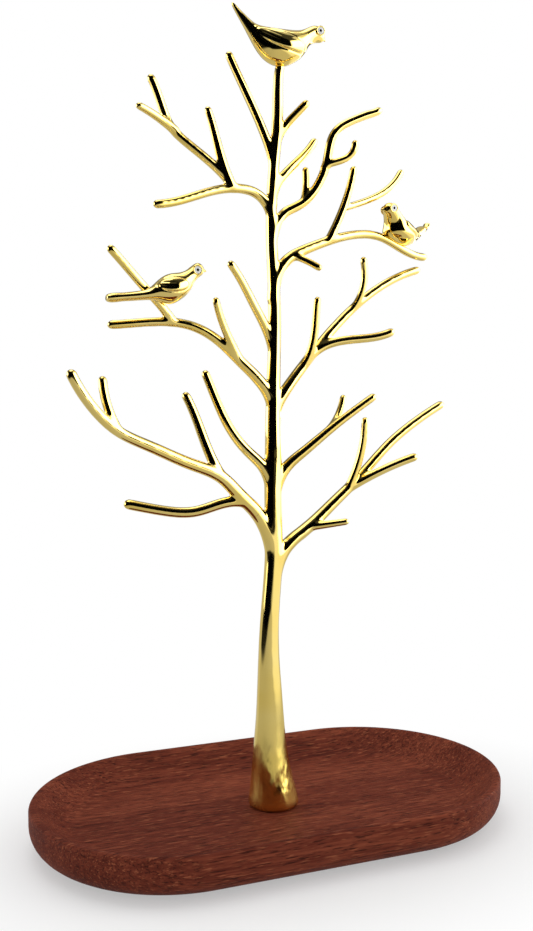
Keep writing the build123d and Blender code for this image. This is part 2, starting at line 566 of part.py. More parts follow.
crown_bird_shape = bird(
    CROWN_BIRD_SHARES, CROWN_WING_SHARES, CROWN_WING_TILT, CROWN_EYE_SHARES, CROWN_BEAK_SHARES,
    STRAIGHT_HEAD_TURN, CROWN_BIRD_LENGTH, CROWN_BIRD_HEIGHT, CROWN_BIRD_WIDTH,
)
left_bird_shape = bird(
    LEFT_BIRD_SHARES, LEFT_WING_SHARES, LEFT_WING_TILT, LEFT_EYE_SHARES, LEFT_BEAK_SHARES,
    STRAIGHT_HEAD_TURN, LEFT_BIRD_LENGTH, LEFT_BIRD_HEIGHT, LEFT_BIRD_WIDTH,
)
right_bird_shape = bird(
    RIGHT_BIRD_SHARES, RIGHT_WING_SHARES, RIGHT_WING_TILT, RIGHT_EYE_SHARES, RIGHT_BEAK_SHARES,
    RIGHT_HEAD_TURN, RIGHT_BIRD_LENGTH, RIGHT_BIRD_HEIGHT, RIGHT_BIRD_WIDTH,
)

# Bird on the trunk's tip, with a shallow seat over the tip
with BuildPart() as crown_bird:
    with Locations((TRUNK_SWAY, 0, TRUNK_TOP_Z + CROWN_BIRD_RISE)):
        add(crown_bird_shape)
    with BuildSketch(Plane.XY.offset(TRUNK_TOP_Z - CUT_OVERRUN)):
        with Locations((TRUNK_SWAY, 0)):
            Circle(TRUNK_SHARES[-1][2] * FOOT_DIAMETER / 2 + CROWN_SEAT_GAP)
    extrude(amount=CUT_OVERRUN, mode=Mode.SUBTRACT)
    add(pin_hole(crown_pin_plane), mode=Mode.SUBTRACT)
crown_bird.part.label = "crown_bird"
export_step(crown_bird.part, "parts/crown_bird.step")

# Bird on the left, set in front of its twig with a saddle cut for it
left_saddle = rod(left_perch_line, TWIG_ROOT, UPPER_LIMB_TIP, SPIKE_TAPER, 0, 1, SADDLE_GAP)
left_bird_place = left_perch + Vector(LEFT_BIRD_ASIDE, -LEFT_BIRD_FORWARD, -LEFT_BIRD_DROP)
with BuildPart() as left_bird:
    with Locations(left_bird_place):
        add(left_bird_shape)
    add(left_saddle, mode=Mode.SUBTRACT)
    add(pin_hole(left_pin_plane), mode=Mode.SUBTRACT)
left_bird.part.label = "left_bird"
export_step(left_bird.part, "parts/left_bird.step")

# Bird on the right, turned towards the front, on top of its limb
right_saddle = rod(
    right_perch_line, BIRD_LIMB_ROOT, UPPER_LIMB_TIP, LIMB_TAPER, collar_end(right_perch_line), 1, SADDLE_GAP
)
right_bird_place = right_perch + Vector(0, 0, UPPER_LIMB_TIP / 2 - RIGHT_BIRD_SINK)
with BuildPart() as right_bird:
    with Locations(Location(right_bird_place, (0, 0, RIGHT_BIRD_TURN))):
        add(right_bird_shape)
    add(right_saddle, mode=Mode.SUBTRACT)
    add(pin_hole(right_pin_plane), mode=Mode.SUBTRACT)
right_bird.part.label = "right_bird"
export_step(right_bird.part, "parts/right_bird.step")

# Perch pins
for pin_name, pin_plane in (
    ("crown_perch_pin", crown_pin_plane),
    ("left_perch_pin", left_pin_plane),
    ("right_perch_pin", right_pin_plane),
):
    with BuildPart() as perch_pin:
        with BuildSketch(pin_plane):
            Circle(PERCH_PIN_DIAMETER / 2)
        extrude(amount=PERCH_PIN_LENGTH)
    perch_pin.part.label = pin_name
    export_step(perch_pin.part, "parts/" + pin_name + ".step")

# Base screw, head down
with BuildPart() as base_screw:
    with BuildSketch(Plane.XY.offset(SCREW_SEAT_Z)):
        Circle(SCREW_HEAD_DIAMETER / 2)
    extrude(amount=-SCREW_HEAD_HEIGHT)
    fillet(base_screw.edges().group_by(Axis.Z)[0], SCREW_HEAD_ROUND)
    with BuildSketch(Plane.XY.offset(SCREW_SEAT_Z)):
        Circle(SCREW_DIAMETER / 2)
    extrude(amount=SCREW_LENGTH)
    chamfer(base_screw.edges().group_by(Axis.Z)[-1], SCREW_TIP_CHAMFER)
    with BuildSketch(Plane.XY.offset(SCREW_SEAT_Z - SCREW_HEAD_HEIGHT)):
        Rectangle(DRIVE_SPAN, DRIVE_WIDTH)
        Rectangle(DRIVE_WIDTH, DRIVE_SPAN)
    extrude(amount=DRIVE_DEPTH, mode=Mode.SUBTRACT)
base_screw.part.label = "base_screw"
export_step(base_screw.part, "parts/base_screw.step")

# Split spring washer under the screw's head
with BuildPart() as spring_washer:
    with BuildSketch(Plane.XY.offset(SCREW_SEAT_Z)):
        Circle(SPRING_WASHER_DIAMETER / 2)
        Circle(WASHER_BORE / 2, mode=Mode.SUBTRACT)
        with Locations((SPRING_WASHER_DIAMETER / 2, 0)):
            Rectangle(SPRING_WASHER_DIAMETER, SPRING_WASHER_SLIT, mode=Mode.SUBTRACT)
    extrude(amount=SPRING_WASHER_THICKNESS)
spring_washer.part.label = "spring_washer"
export_step(spring_washer.part, "parts/spring_washer.step")

# Flat washer against the wood
with BuildPart() as flat_washer:
    with BuildSketch(Plane.XY.offset(SCREW_SEAT_Z + SPRING_WASHER_THICKNESS)):
        Circle(FLAT_WASHER_DIAMETER / 2)
        Circle(WASHER_BORE / 2, mode=Mode.SUBTRACT)
    extrude(amount=FLAT_WASHER_THICKNESS)
flat_washer.part.label = "flat_washer"
export_step(flat_washer.part, "parts/flat_washer.step")

# Anti-slip pads
for pad_name, side_x, side_y in (
    ("pad_front_left", -1, -1),
    ("pad_front_right", 1, -1),
    ("pad_back_left", -1, 1),
    ("pad_back_right", 1, 1),
):
    pad_x = side_x * (TRAY_LENGTH / 2 - PAD_END_INSET)
    pad_y = side_y * (TRAY_WIDTH / 2 - PAD_SIDE_INSET)
    with BuildPart() as pad:
        with BuildSketch(Plane.XY):
            with Locations((pad_x, pad_y)):
                Circle(PAD_DIAMETER / 2)
        extrude(amount=PAD_THICKNESS)
        fillet(pad.edges().group_by(Axis.Z)[0], PAD_EDGE_ROUND)
    pad.part.label = pad_name
    export_step(pad.part, "parts/" + pad_name + ".step")
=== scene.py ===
# %% [markdown]
# # A gold jewellery tree on a hardwood tray
# The real object is a polished, gold-plated tree with three perched birds. It stands in the middle of a dished
# tray of reddish hardwood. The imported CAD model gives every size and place, so each piece below starts from it.

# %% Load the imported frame
import math

import bmesh
import bpy
from mathutils import Matrix, Vector, noise
from mathutils.bvhtree import BVHTree


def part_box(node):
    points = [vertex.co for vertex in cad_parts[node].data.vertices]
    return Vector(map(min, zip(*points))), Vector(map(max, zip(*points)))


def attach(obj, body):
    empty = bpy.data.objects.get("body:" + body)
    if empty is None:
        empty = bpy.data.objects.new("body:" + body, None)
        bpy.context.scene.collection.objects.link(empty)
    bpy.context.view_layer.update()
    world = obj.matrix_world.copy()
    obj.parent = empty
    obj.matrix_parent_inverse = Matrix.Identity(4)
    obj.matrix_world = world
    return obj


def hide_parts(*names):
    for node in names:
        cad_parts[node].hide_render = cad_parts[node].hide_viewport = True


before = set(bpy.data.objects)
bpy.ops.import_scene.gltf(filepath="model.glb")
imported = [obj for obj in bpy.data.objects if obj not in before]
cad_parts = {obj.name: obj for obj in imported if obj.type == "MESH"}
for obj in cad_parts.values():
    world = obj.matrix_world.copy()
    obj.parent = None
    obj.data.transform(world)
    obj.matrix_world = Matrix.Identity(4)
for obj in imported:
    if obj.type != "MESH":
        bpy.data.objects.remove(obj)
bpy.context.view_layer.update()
MM = 0.001
scene = bpy.context.scene
scene.view_settings.view_transform = "Standard"

# %% [markdown]
# ## Camera
# The photograph looks a little from the left and slightly down. The camera's place was worked out from the tray's
# outline, whose two round ends and level rim fix the view. An empty target isn't needed: the camera is turned by
# pointing its own -Z axis at a point on the trunk, which keeps the scene free of constraints.

# %% Place the camera
CAMERA_PLACE = Vector((-146.4, -358.9, 162.5)) * MM
CAMERA_TARGET = Vector((0.0, 0.0, 135.07)) * MM
CAMERA_LENS = 41.0
CAMERA_SENSOR = 36.0
CAMERA_SHIFT_X = -0.0074
CAMERA_NEAR = 10.0 * MM

camera_data = bpy.data.cameras.new("camera")
camera_data.lens = CAMERA_LENS
camera_data.sensor_width = CAMERA_SENSOR
camera_data.shift_x = CAMERA_SHIFT_X
camera_data.clip_start = CAMERA_NEAR
camera = bpy.data.objects.new("camera", camera_data)
scene.collection.objects.link(camera)
camera.location = CAMERA_PLACE
camera.rotation_euler = (CAMERA_TARGET - CAMERA_PLACE).to_track_quat("-Z", "Y").to_euler()
scene.camera = camera
print("camera distance in mm:", round((CAMERA_PLACE - CAMERA_TARGET).length / MM, 1))

# %% [markdown]
# ## Helpers for shader nodes
# A material is a small graph of nodes. Setting and linking every socket by hand is long, so a few helpers make the
# nodes that come up again and again. They are plain Python, so the graph stays as easy to follow as in the shader
# editor. A Mix node keeps a set of sockets for each kind of data under the same names, so they go by number.


# %% Helpers for nodes and materials
def add_node(tree, kind, **values):
    """A node of one kind, with its settings and unlinked inputs given by name."""
    node = tree.nodes.new(kind)
    for name, value in values.items():
        if hasattr(node, name):
            setattr(node, name, value)
        else:
            node.inputs[name.replace("_", " ")].default_value = value
    return node


def new_material(name):
    """A material with only its output and a Principled shader, which are already joined."""
    material = bpy.data.materials.new(name)
    material.use_nodes = True
    tree = material.node_tree
    return material, tree, tree.nodes["Principled BSDF"]


def ramp_node(tree, stops):
    """A colour ramp with its stops given as (place, colour)."""
    node = tree.nodes.new("ShaderNodeValToRGB")
    while len(node.color_ramp.elements) < len(stops):
        node.color_ramp.elements.new(0.5)
    for element, (place, colour) in zip(node.color_ramp.elements, stops):
        element.position = place
        element.color = (*colour, 1.0)
    return node


# %% Helpers for mixing
def mix_number(tree, share, first, second):
    """A number between two linked ones, by a fixed share of the second."""
    node = add_node(tree, "ShaderNodeMix", data_type="FLOAT")
    node.inputs[0].default_value = share
    tree.links.new(first, node.inputs[2])
    tree.links.new(second, node.inputs[3])
    return node.outputs[0]


def mix_colour(tree, share, first, colour):
    """A colour that turns from a linked one to a plain one, by a linked share."""
    node = add_node(tree, "ShaderNodeMix", data_type="RGBA")
    node.inputs[7].default_value = (*colour, 1.0)
    tree.links.new(share, node.inputs[0])
    tree.links.new(first, node.inputs[6])
    return node.outputs[2]


def combine(tree, operation, first, second):
    """One number from two, by a plain operation."""
    node = add_node(tree, "ShaderNodeMath", operation=operation)
    tree.links.new(first, node.inputs[0])
    tree.links.new(second, node.inputs[1])
    return node.outputs["Value"]


def soft_step(tree, vector, towards, start, end, low=0.0, high=1.0):
    """A smooth step from low to high, by how far a vector reaches in one direction."""
    reach = add_node(tree, "ShaderNodeVectorMath", operation="DOT_PRODUCT")
    reach.inputs[1].default_value = towards
    step = add_node(
        tree, "ShaderNodeMapRange", interpolation_type="SMOOTHSTEP",
        From_Min=start, From_Max=end, To_Min=low, To_Max=high,
    )
    tree.links.new(vector, reach.inputs[0])
    tree.links.new(reach.outputs["Value"], step.inputs["Value"])
    return step.outputs["Result"]


# %% [markdown]
# ## Fine unevenness, shared by several finishes
# Plated castings and rubber both show a fine, irregular texture at their own scale. One node group gives a soft
# mask and a height from two noises on Object coordinates, and each material sets its own scales.

# %% Fine unevenness group
FINE_SHARE = 0.25

fine = bpy.data.node_groups.new("fine_unevenness", "ShaderNodeTree")
fine.interface.new_socket("Broad Scale", in_out="INPUT", socket_type="NodeSocketFloat")
fine.interface.new_socket("Fine Scale", in_out="INPUT", socket_type="NodeSocketFloat")
fine.interface.new_socket("Mask", in_out="OUTPUT", socket_type="NodeSocketFloat")
fine.interface.new_socket("Height", in_out="OUTPUT", socket_type="NodeSocketFloat")
group_in = fine.nodes.new("NodeGroupInput")
group_out = fine.nodes.new("NodeGroupOutput")
place = fine.nodes.new("ShaderNodeTexCoord")
broad = add_node(fine, "ShaderNodeTexNoise", Detail=2.0, Roughness=0.5)
small = add_node(fine, "ShaderNodeTexNoise", Detail=4.0, Roughness=0.6)
for noise_node, scale in ((broad, "Broad Scale"), (small, "Fine Scale")):
    fine.links.new(place.outputs["Object"], noise_node.inputs["Vector"])
    fine.links.new(group_in.outputs[scale], noise_node.inputs["Scale"])
relief = mix_number(fine, FINE_SHARE, broad.outputs["Fac"], small.outputs["Fac"])
fine.links.new(broad.outputs["Fac"], group_out.inputs["Mask"])
fine.links.new(relief, group_out.inputs["Height"])


def add_unevenness(tree, broad_scale, fine_scale):
    """The shared group, placed in a material with its own two scales per metre."""
    node = tree.nodes.new("ShaderNodeGroup")
    node.node_tree = fine
    node.inputs["Broad Scale"].default_value = broad_scale
    node.inputs["Fine Scale"].default_value = fine_scale
    return node


print("shared groups:", [group.name for group in bpy.data.node_groups])

# %% [markdown]
# ## Gold plate
# The tree is cast, polished and plated, so it is a mirror with slight waves. A metallic Principled shader with a low
# roughness does this. The shared unevenness moves the roughness and the colour a little, so that the plate isn't one
# flat tone, and its height makes the waves through a weak bump.

# %% Gold plate material
GOLD_LIGHT = (0.93, 0.72, 0.235)
GOLD_DEEP = (0.90, 0.665, 0.165)
BEST_POLISH = 0.03
WORST_POLISH = 0.08
WAVE_DISTANCE = 0.1 * MM

gold, tree, shader = new_material("gold_plate")
uneven = add_unevenness(tree, broad_scale=55.0, fine_scale=900.0)
tone = ramp_node(tree, [(0.35, GOLD_DEEP), (0.65, GOLD_LIGHT)])
polish = add_node(tree, "ShaderNodeMapRange", To_Min=BEST_POLISH, To_Max=WORST_POLISH)
waves = add_node(tree, "ShaderNodeBump", Strength=0.04, Distance=WAVE_DISTANCE)
tree.links.new(uneven.outputs["Mask"], tone.inputs["Fac"])
tree.links.new(uneven.outputs["Mask"], polish.inputs["Value"])
tree.links.new(uneven.outputs["Height"], waves.inputs["Height"])
print("made", gold.name)

# %% [markdown]
# ## Painted highlight and shade on the eyes
# Each bird's eye is a gold ring round a plate with a pupil. A painted highlight makes the plate white, and painted
# shade makes the pupil black. It could be a piece with a material of its own, but it is part of the bird, so the
# bird's mesh carries two marks from 0 to 1 instead, one for the painted highlight and one for the painted shade.
# The marks mix the colours, and where the highlight is painted the plate isn't metal.

# %% Eye colours in the gold material
# The plate's white is a painted highlight, and the pupil's black is painted shade
EYE_HIGHLIGHT_PAINT = (0.95, 0.95, 0.93)
PUPIL_SHADE_PAINT = (0.008, 0.007, 0.006)

painted_eye_highlight = add_node(tree, "ShaderNodeAttribute", attribute_name="painted_eye_highlight")
painted_pupil_shade = add_node(tree, "ShaderNodeAttribute", attribute_name="painted_pupil_shade")
highlight_painted = mix_colour(tree, painted_eye_highlight.outputs["Fac"], tone.outputs["Color"], EYE_HIGHLIGHT_PAINT)
shade_painted = mix_colour(tree, painted_pupil_shade.outputs["Fac"], highlight_painted, PUPIL_SHADE_PAINT)
tree.links.new(shade_painted, shader.inputs["Base Color"])
# Where the highlight is painted, the plate isn't metal
plated = add_node(tree, "ShaderNodeMath", operation="SUBTRACT")
plated.inputs[0].default_value = 1.0
tree.links.new(painted_eye_highlight.outputs["Fac"], plated.inputs[1])
tree.links.new(plated.outputs["Value"], shader.inputs["Metallic"])
print(gold.name, "reads the marks", painted_eye_highlight.attribute_name, "and", painted_pupil_shade.attribute_name)

# %% [markdown]
# ## Duller foot
# Near the tray the trunk is polished less well: it is duller and has short upright marks, which are finer than the
# mesh. So the roughness rises towards the foot, in patches by the unevenness mask, and a noise that is stretched
# upwards scores the surface through a second bump.

# %% Foot of the gold material
UP = Vector((0.0, 0.0, 1.0))
FOOT_ROUGHNESS = 0.36
MARK_STRETCH = (1.0, 1.0, 0.35)
MARK_DISTANCE = 0.9 * MM

spot = tree.nodes.new("ShaderNodeTexCoord").outputs["Object"]
dull = soft_step(tree, spot, UP, start=14.0 * MM, end=50.0 * MM, low=FOOT_ROUGHNESS, high=0.0)
roughness = add_node(tree, "ShaderNodeMath", operation="MULTIPLY_ADD")
tree.links.new(dull, roughness.inputs[0])
tree.links.new(uneven.outputs["Mask"], roughness.inputs[1])
tree.links.new(polish.outputs["Result"], roughness.inputs[2])
tree.links.new(roughness.outputs["Value"], shader.inputs["Roughness"])
upright = add_node(tree, "ShaderNodeVectorMath", operation="MULTIPLY")
upright.inputs[1].default_value = MARK_STRETCH
marks = add_node(tree, "ShaderNodeTexNoise", Scale=340.0, Detail=1.5, Roughness=0.5)
tree.links.new(spot, upright.inputs[0])
tree.links.new(upright.outputs["Vector"], marks.inputs["Vector"])
low_down = soft_step(tree, spot, UP, start=12.0 * MM, end=40.0 * MM, low=1.0, high=0.0)
marked = combine(tree, "MULTIPLY", marks.outputs["Fac"], low_down)
scored = add_node(tree, "ShaderNodeBump", Strength=0.6, Distance=MARK_DISTANCE)
tree.links.new(marked, scored.inputs["Height"])
tree.links.new(waves.outputs["Normal"], scored.inputs["Normal"])
tree.links.new(scored.outputs["Normal"], shader.inputs["Normal"])
print(gold.name, "has", len(tree.nodes), "nodes")

# %% [markdown]
# ## Red hardwood
# The tray is cut from one board, with its grain along the length. A solid texture on Object coordinates runs through
# the block, so that the round ends show end grain without any extra work. Four noises are mixed: slow bands of
# colour, fine streaks along the grain, light flecks that are partly the wood's ray figure and partly painted sheen,
# and short dark pores, which are also slightly sunken.

# %% Grain of the hardwood
wood, tree, shader = new_material("red_hardwood")
place = tree.nodes.new("ShaderNodeTexCoord")


def grain_noise(stretch, scale, detail, distortion=0.0):
    """A noise stretched along the board's length."""
    mapping = add_node(tree, "ShaderNodeMapping")
    mapping.inputs["Scale"].default_value = stretch
    texture = add_node(tree, "ShaderNodeTexNoise", Scale=scale, Detail=detail, Roughness=0.6, Distortion=distortion)
    tree.links.new(place.outputs["Object"], mapping.inputs["Vector"])
    tree.links.new(mapping.outputs["Vector"], texture.inputs["Vector"])
    return texture.outputs["Fac"]


bands = grain_noise((0.10, 1.0, 1.3), scale=60.0, detail=3.0, distortion=0.5)
streaks = grain_noise((0.05, 1.0, 1.0), scale=1000.0, detail=5.0, distortion=0.15)
fleck_and_sheen_noise = grain_noise((0.11, 1.0, 1.0), scale=1600.0, detail=1.0)
pores = grain_noise((0.075, 1.0, 1.0), scale=2100.0, detail=2.0)
print("grain of", wood.name, "has", len(tree.nodes), "nodes")

# %% Colour of the hardwood
WOOD_DARK = (0.078, 0.014, 0.008)
WOOD_MIDDLE = (0.150, 0.031, 0.0165)
WOOD_LIGHT = (0.250, 0.060, 0.030)
# The light flecks are partly the wood's ray figure and partly painted sheen
FLECK_AND_SHEEN_COLOUR = (0.36, 0.11, 0.052)
PORE_COLOUR = (0.034, 0.008, 0.005)
STREAK_SHARE = 0.55
FLECK_AND_SHEEN_SHARE = 0.62
PORE_SHARE = 0.8

body = ramp_node(tree, [(0.36, WOOD_DARK), (0.50, WOOD_MIDDLE), (0.64, WOOD_LIGHT)])
tree.links.new(mix_number(tree, STREAK_SHARE, bands, streaks), body.inputs["Fac"])
# Mask of the light flecks: partly ray figure, partly painted sheen
fleck_and_sheen_mask = add_node(tree, "ShaderNodeMapRange", From_Min=0.59, From_Max=0.70, To_Max=FLECK_AND_SHEEN_SHARE)
tree.links.new(fleck_and_sheen_noise, fleck_and_sheen_mask.inputs["Value"])
flecked_and_sheened = mix_colour(tree, fleck_and_sheen_mask.outputs["Result"], body.outputs["Color"], FLECK_AND_SHEEN_COLOUR)
pore_mask = add_node(tree, "ShaderNodeMapRange", From_Min=0.55, From_Max=0.64)
tree.links.new(pores, pore_mask.inputs["Value"])
pore_share = add_node(tree, "ShaderNodeMath", operation="MULTIPLY")
pore_share.inputs[1].default_value = PORE_SHARE
tree.links.new(pore_mask.outputs["Result"], pore_share.inputs[0])
pored = mix_colour(tree, pore_share.outputs["Value"], flecked_and_sheened, PORE_COLOUR)
tree.links.new(pored, shader.inputs["Base Color"])
print("colour of", wood.name, "has", len(tree.nodes), "nodes so far")

# %% Sheen and relief of the hardwood
WOOD_SPECULAR = 0.05
GRAIN_DISTANCE = 0.25 * MM

shader.inputs["Specular IOR Level"].default_value = WOOD_SPECULAR
sheen = add_node(tree, "ShaderNodeMapRange", To_Min=0.46, To_Max=0.70)
tree.links.new(streaks, sheen.inputs["Value"])
tree.links.new(sheen.outputs["Result"], shader.inputs["Roughness"])
grain_bump = add_node(tree, "ShaderNodeBump", Strength=0.45, Distance=GRAIN_DISTANCE)
sunken_pores = combine(tree, "SUBTRACT", streaks, pore_mask.outputs["Result"])
tree.links.new(sunken_pores, grain_bump.inputs["Height"])
tree.links.new(grain_bump.outputs["Normal"], shader.inputs["Normal"])
print("made", wood.name)

# %% [markdown]
# ## Plated steel and rubber
# The screw, washers and perch pins are zinc-plated steel, and the pads are black rubber. They show only from below or
# not at all, so two short materials on the shared unevenness are enough, on the CAD nodes as they are.


# %% Steel and rubber materials
def uneven_material(name, dark, light, metallic, rough_low, rough_high, broad_scale, fine_scale, depth):
    """A plain finish whose tone, roughness and relief follow the shared unevenness."""
    material, tree, shader = new_material(name)
    shader.inputs["Metallic"].default_value = metallic
    uneven = add_unevenness(tree, broad_scale, fine_scale)
    tone = ramp_node(tree, [(0.35, dark), (0.65, light)])
    rough = add_node(tree, "ShaderNodeMapRange", To_Min=rough_low, To_Max=rough_high)
    bump = add_node(tree, "ShaderNodeBump", Strength=0.3, Distance=depth)
    tree.links.new(uneven.outputs["Mask"], tone.inputs["Fac"])
    tree.links.new(tone.outputs["Color"], shader.inputs["Base Color"])
    tree.links.new(uneven.outputs["Mask"], rough.inputs["Value"])
    tree.links.new(rough.outputs["Result"], shader.inputs["Roughness"])
    tree.links.new(uneven.outputs["Height"], bump.inputs["Height"])
    tree.links.new(bump.outputs["Normal"], shader.inputs["Normal"])
    return material


steel = uneven_material(
    "plated_steel", dark=(0.42, 0.42, 0.43), light=(0.62, 0.62, 0.63), metallic=1.0,
    rough_low=0.28, rough_high=0.45, broad_scale=300.0, fine_scale=2500.0, depth=0.05 * MM,
)
rubber = uneven_material(
    "black_rubber", dark=(0.018, 0.018, 0.018), light=(0.035, 0.035, 0.034), metallic=0.0,
    rough_low=0.75, rough_high=0.92, broad_scale=400.0, fine_scale=3000.0, depth=0.1 * MM,
)
STEEL_NODES = ["base_screw", "flat_washer", "spring_washer", "crown_perch_pin", "left_perch_pin", "right_perch_pin"]
PAD_NODES = ["pad_front_left", "pad_front_right", "pad_back_left", "pad_back_right"]
for names, material in ((STEEL_NODES, steel), (PAD_NODES, rubber)):
    for name in names:
        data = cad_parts[name].data
        data.materials.clear()
        data.materials.append(material)
print("steel on", len(STEEL_NODES), "nodes, rubber on", len(PAD_NODES))

# %% [markdown]
# ## Casting the tree
# On the real tree each limb runs into the trunk in a soft hollow, and a casting has no hard inner corners. The CAD
# rods only cross, so copies of the trunk and its limbs are joined and remeshed together on a fine grid. That melts
# the crossings into one skin, and rounds of smoothing give the hollows. The first helpers copy, remesh and clean.

# %% Copy, link and remesh
MERGE_DISTANCE = 0.002 * MM


def cad_copy(name):
    """A CAD node's triangles in a new bmesh, with their doubled corners merged."""
    bm = bmesh.new()
    bm.from_mesh(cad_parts[name].data)
    bmesh.ops.remove_doubles(bm, verts=bm.verts, dist=MERGE_DISTANCE)
    return bm


def link_mesh(name, bm):
    """A new object from a bmesh, which is freed."""
    data = bpy.data.meshes.new(name)
    bm.to_mesh(data)
    bm.free()
    piece = bpy.data.objects.new(name, data)
    scene.collection.objects.link(piece)
    return piece


def remeshed(bm, voxel):
    """A bmesh of the same solid on an even grid, with crossing shells melted together."""
    draft = link_mesh("draft", bm)
    modifier = draft.modifiers.new("grid", "REMESH")
    modifier.mode = "VOXEL"
    modifier.voxel_size = voxel
    modifier.adaptivity = 0.0
    bpy.context.view_layer.update()
    graph = bpy.context.evaluated_depsgraph_get()
    data = bpy.data.meshes.new_from_object(draft.evaluated_get(graph))
    result = bmesh.new()
    result.from_mesh(data)
    old = draft.data
    bpy.data.objects.remove(draft)
    bpy.data.meshes.remove(old)
    bpy.data.meshes.remove(data)
    return result


# %% Clean a skin
def keep_largest(bm):
    """Deletes every loose part but the largest, such as a skin round a closed pocket, and counts the parts."""
    bm.verts.ensure_lookup_table()
    seen = set()
    parts = []
    for start in bm.verts:
        if start in seen:
            continue
        seen.add(start)
        part = [start]
        for vert in part:
            for edge in vert.link_edges:
                other = edge.other_vert(vert)
                if other not in seen:
                    seen.add(other)
                    part.append(other)
        parts.append(part)
    parts.sort(key=len)
    for part in parts[:-1]:
        bmesh.ops.delete(bm, geom=part, context="VERTS")
    return len(parts)


# %% [markdown]
# ## Smoothing a skin
# A grid leaves faint steps, and a mirror shows each of them. Smoothing takes them off but also thins the rods, so the
# skin is swelled again by what it lost. The stout lower trunk shows the broadest reflections, so it gets more rounds,
# and their top edge comes down step by step, because one hard edge would show as a ring. At last the normals that the
# piece is shaded by are averaged with their neighbours, which clears the reflections without moving a corner.


# %% Smooth and swell
def smooth_rounds(bm, verts, rounds):
    """Draws corners half-way to the middle of their neighbours, a number of times."""
    for _ in range(rounds):
        bmesh.ops.smooth_vert(bm, verts=verts, factor=0.5, use_axis_x=True, use_axis_y=True, use_axis_z=True)


def polish_skin(bm, verts, rounds, regain):
    """Smooths corners of a skin and then swells them by what the smoothing took off."""
    smooth_rounds(bm, verts, rounds)
    bm.normal_update()
    moves = [(vert, vert.normal * regain) for vert in verts]
    for vert, move in moves:
        vert.co += move


# %% Even out the shading
STOUT_TOP = 116.0 * MM
STOUT_FALL = 4.0 * MM
STOUT_STEPS = 10
STOUT_REACH = 12.0 * MM


def is_stout(place, step):
    """Whether a place is on the stout lower trunk, whose top edge is lower at each step."""
    return place.z < (STOUT_TOP - step * STOUT_FALL) and abs(place.x) < STOUT_REACH


def even_normals(bm, rounds, stout_rounds=0):
    """Keeps each corner's normal, averaged with its neighbours, in a layer that the finished piece is shaded by."""
    smoothed = bm.copy()
    for vert in smoothed.verts:
        vert.co = vert.normal
    corners = list(smoothed.verts)
    smooth_rounds(smoothed, corners, rounds)
    for step in range(STOUT_STEPS if stout_rounds else 0):
        low = [even for even, vert in zip(corners, bm.verts) if is_stout(vert.co, step)]
        smooth_rounds(smoothed, low, stout_rounds // STOUT_STEPS)
    layer = bm.verts.layers.float_vector.new("skin_normal")
    for vert, even in zip(bm.verts, smoothed.verts):
        vert[layer] = even.co.normalized()
    smoothed.free()


def shade_by_kept(piece):
    """Shades a piece by its kept normals, and takes the layer away."""
    kept = piece.data.attributes["skin_normal"]
    piece.data.normals_split_custom_set_from_vertices([item.vector for item in kept.data])
    piece.data.attributes.remove(piece.data.attributes["skin_normal"])


# %% Melt the trunk and limbs together
LIMB_NODES = [
    "left_crown_spike", "left_upper_limb", "left_middle_spike", "left_middle_limb", "left_lower_spike",
    "left_lower_limb", "right_crown_spike", "right_upper_spike", "right_upper_limb", "right_bird_limb",
    "right_middle_limb", "right_lower_fork", "right_lower_limb",
]
TREE_NODES = ["trunk"] + LIMB_NODES
TREE_VOXEL = 0.34 * MM
SKIN_ROUNDS = 14
SKIN_REGAIN = 0.12 * MM
STOUT_ROUNDS = 6
STOUT_REGAIN = 0.012 * MM

whole = bmesh.new()
owners = []
for name in TREE_NODES:
    part = cad_copy(name)
    data = bpy.data.meshes.new("part")
    part.to_mesh(data)
    part.free()
    before = len(whole.faces)
    whole.from_mesh(data)
    owners += [name] * (len(whole.faces) - before)
    bpy.data.meshes.remove(data)
whole.faces.ensure_lookup_table()
owner_tree = BVHTree.FromBMesh(whole)
skin = remeshed(whole, TREE_VOXEL)
loose = keep_largest(skin)
polish_skin(skin, list(skin.verts), SKIN_ROUNDS, SKIN_REGAIN)
skin.normal_update()
for step in range(STOUT_STEPS):
    stout = [vert for vert in skin.verts if is_stout(vert.co, step)]
    polish_skin(skin, stout, STOUT_ROUNDS, STOUT_REGAIN)
skin.normal_update()
print("tree skin:", len(skin.verts), "corners,", loose, "loose parts before cleaning")

# %% [markdown]
# ## Bark and foot of the trunk
# Low on the trunk the casting has faint upright ridges, a slim waist and a foot that spreads out on the tray. They
# change the outline of every reflection, so they are cut into the mesh and not only into a bump map. Each corner is
# moved along its own normal by a wave round the trunk, which fades out upwards and at the foot, and then sideways by
# the waist and the flare. A very weak wave over the whole tree keeps the mirror from being perfect.

# %% Ridges of the bark
RIDGE_TOP = 120.0 * MM
RIDGE_TOP_FADE = 60.0 * MM
RIDGE_FOOT = 22.0 * MM
RIDGE_FOOT_FADE = 20.0 * MM
RIDGE_DEPTH = 0.20 * MM
RIDGES_ROUND = 7.0
RIDGE_TWIST = 40.0
RIDGE_SHARE = 0.7
DRIFTS_PER_METRE = 28.0
DRIFT_TURN = 2.6
FINE_RIDGES_ROUND = 2.5
FINE_RIDGE_RISE = 18.0
FINE_RIDGE_SHARE = 0.4


def clamp(value):
    """A number held between 0 and 1."""
    return max(0.0, min(1.0, value))


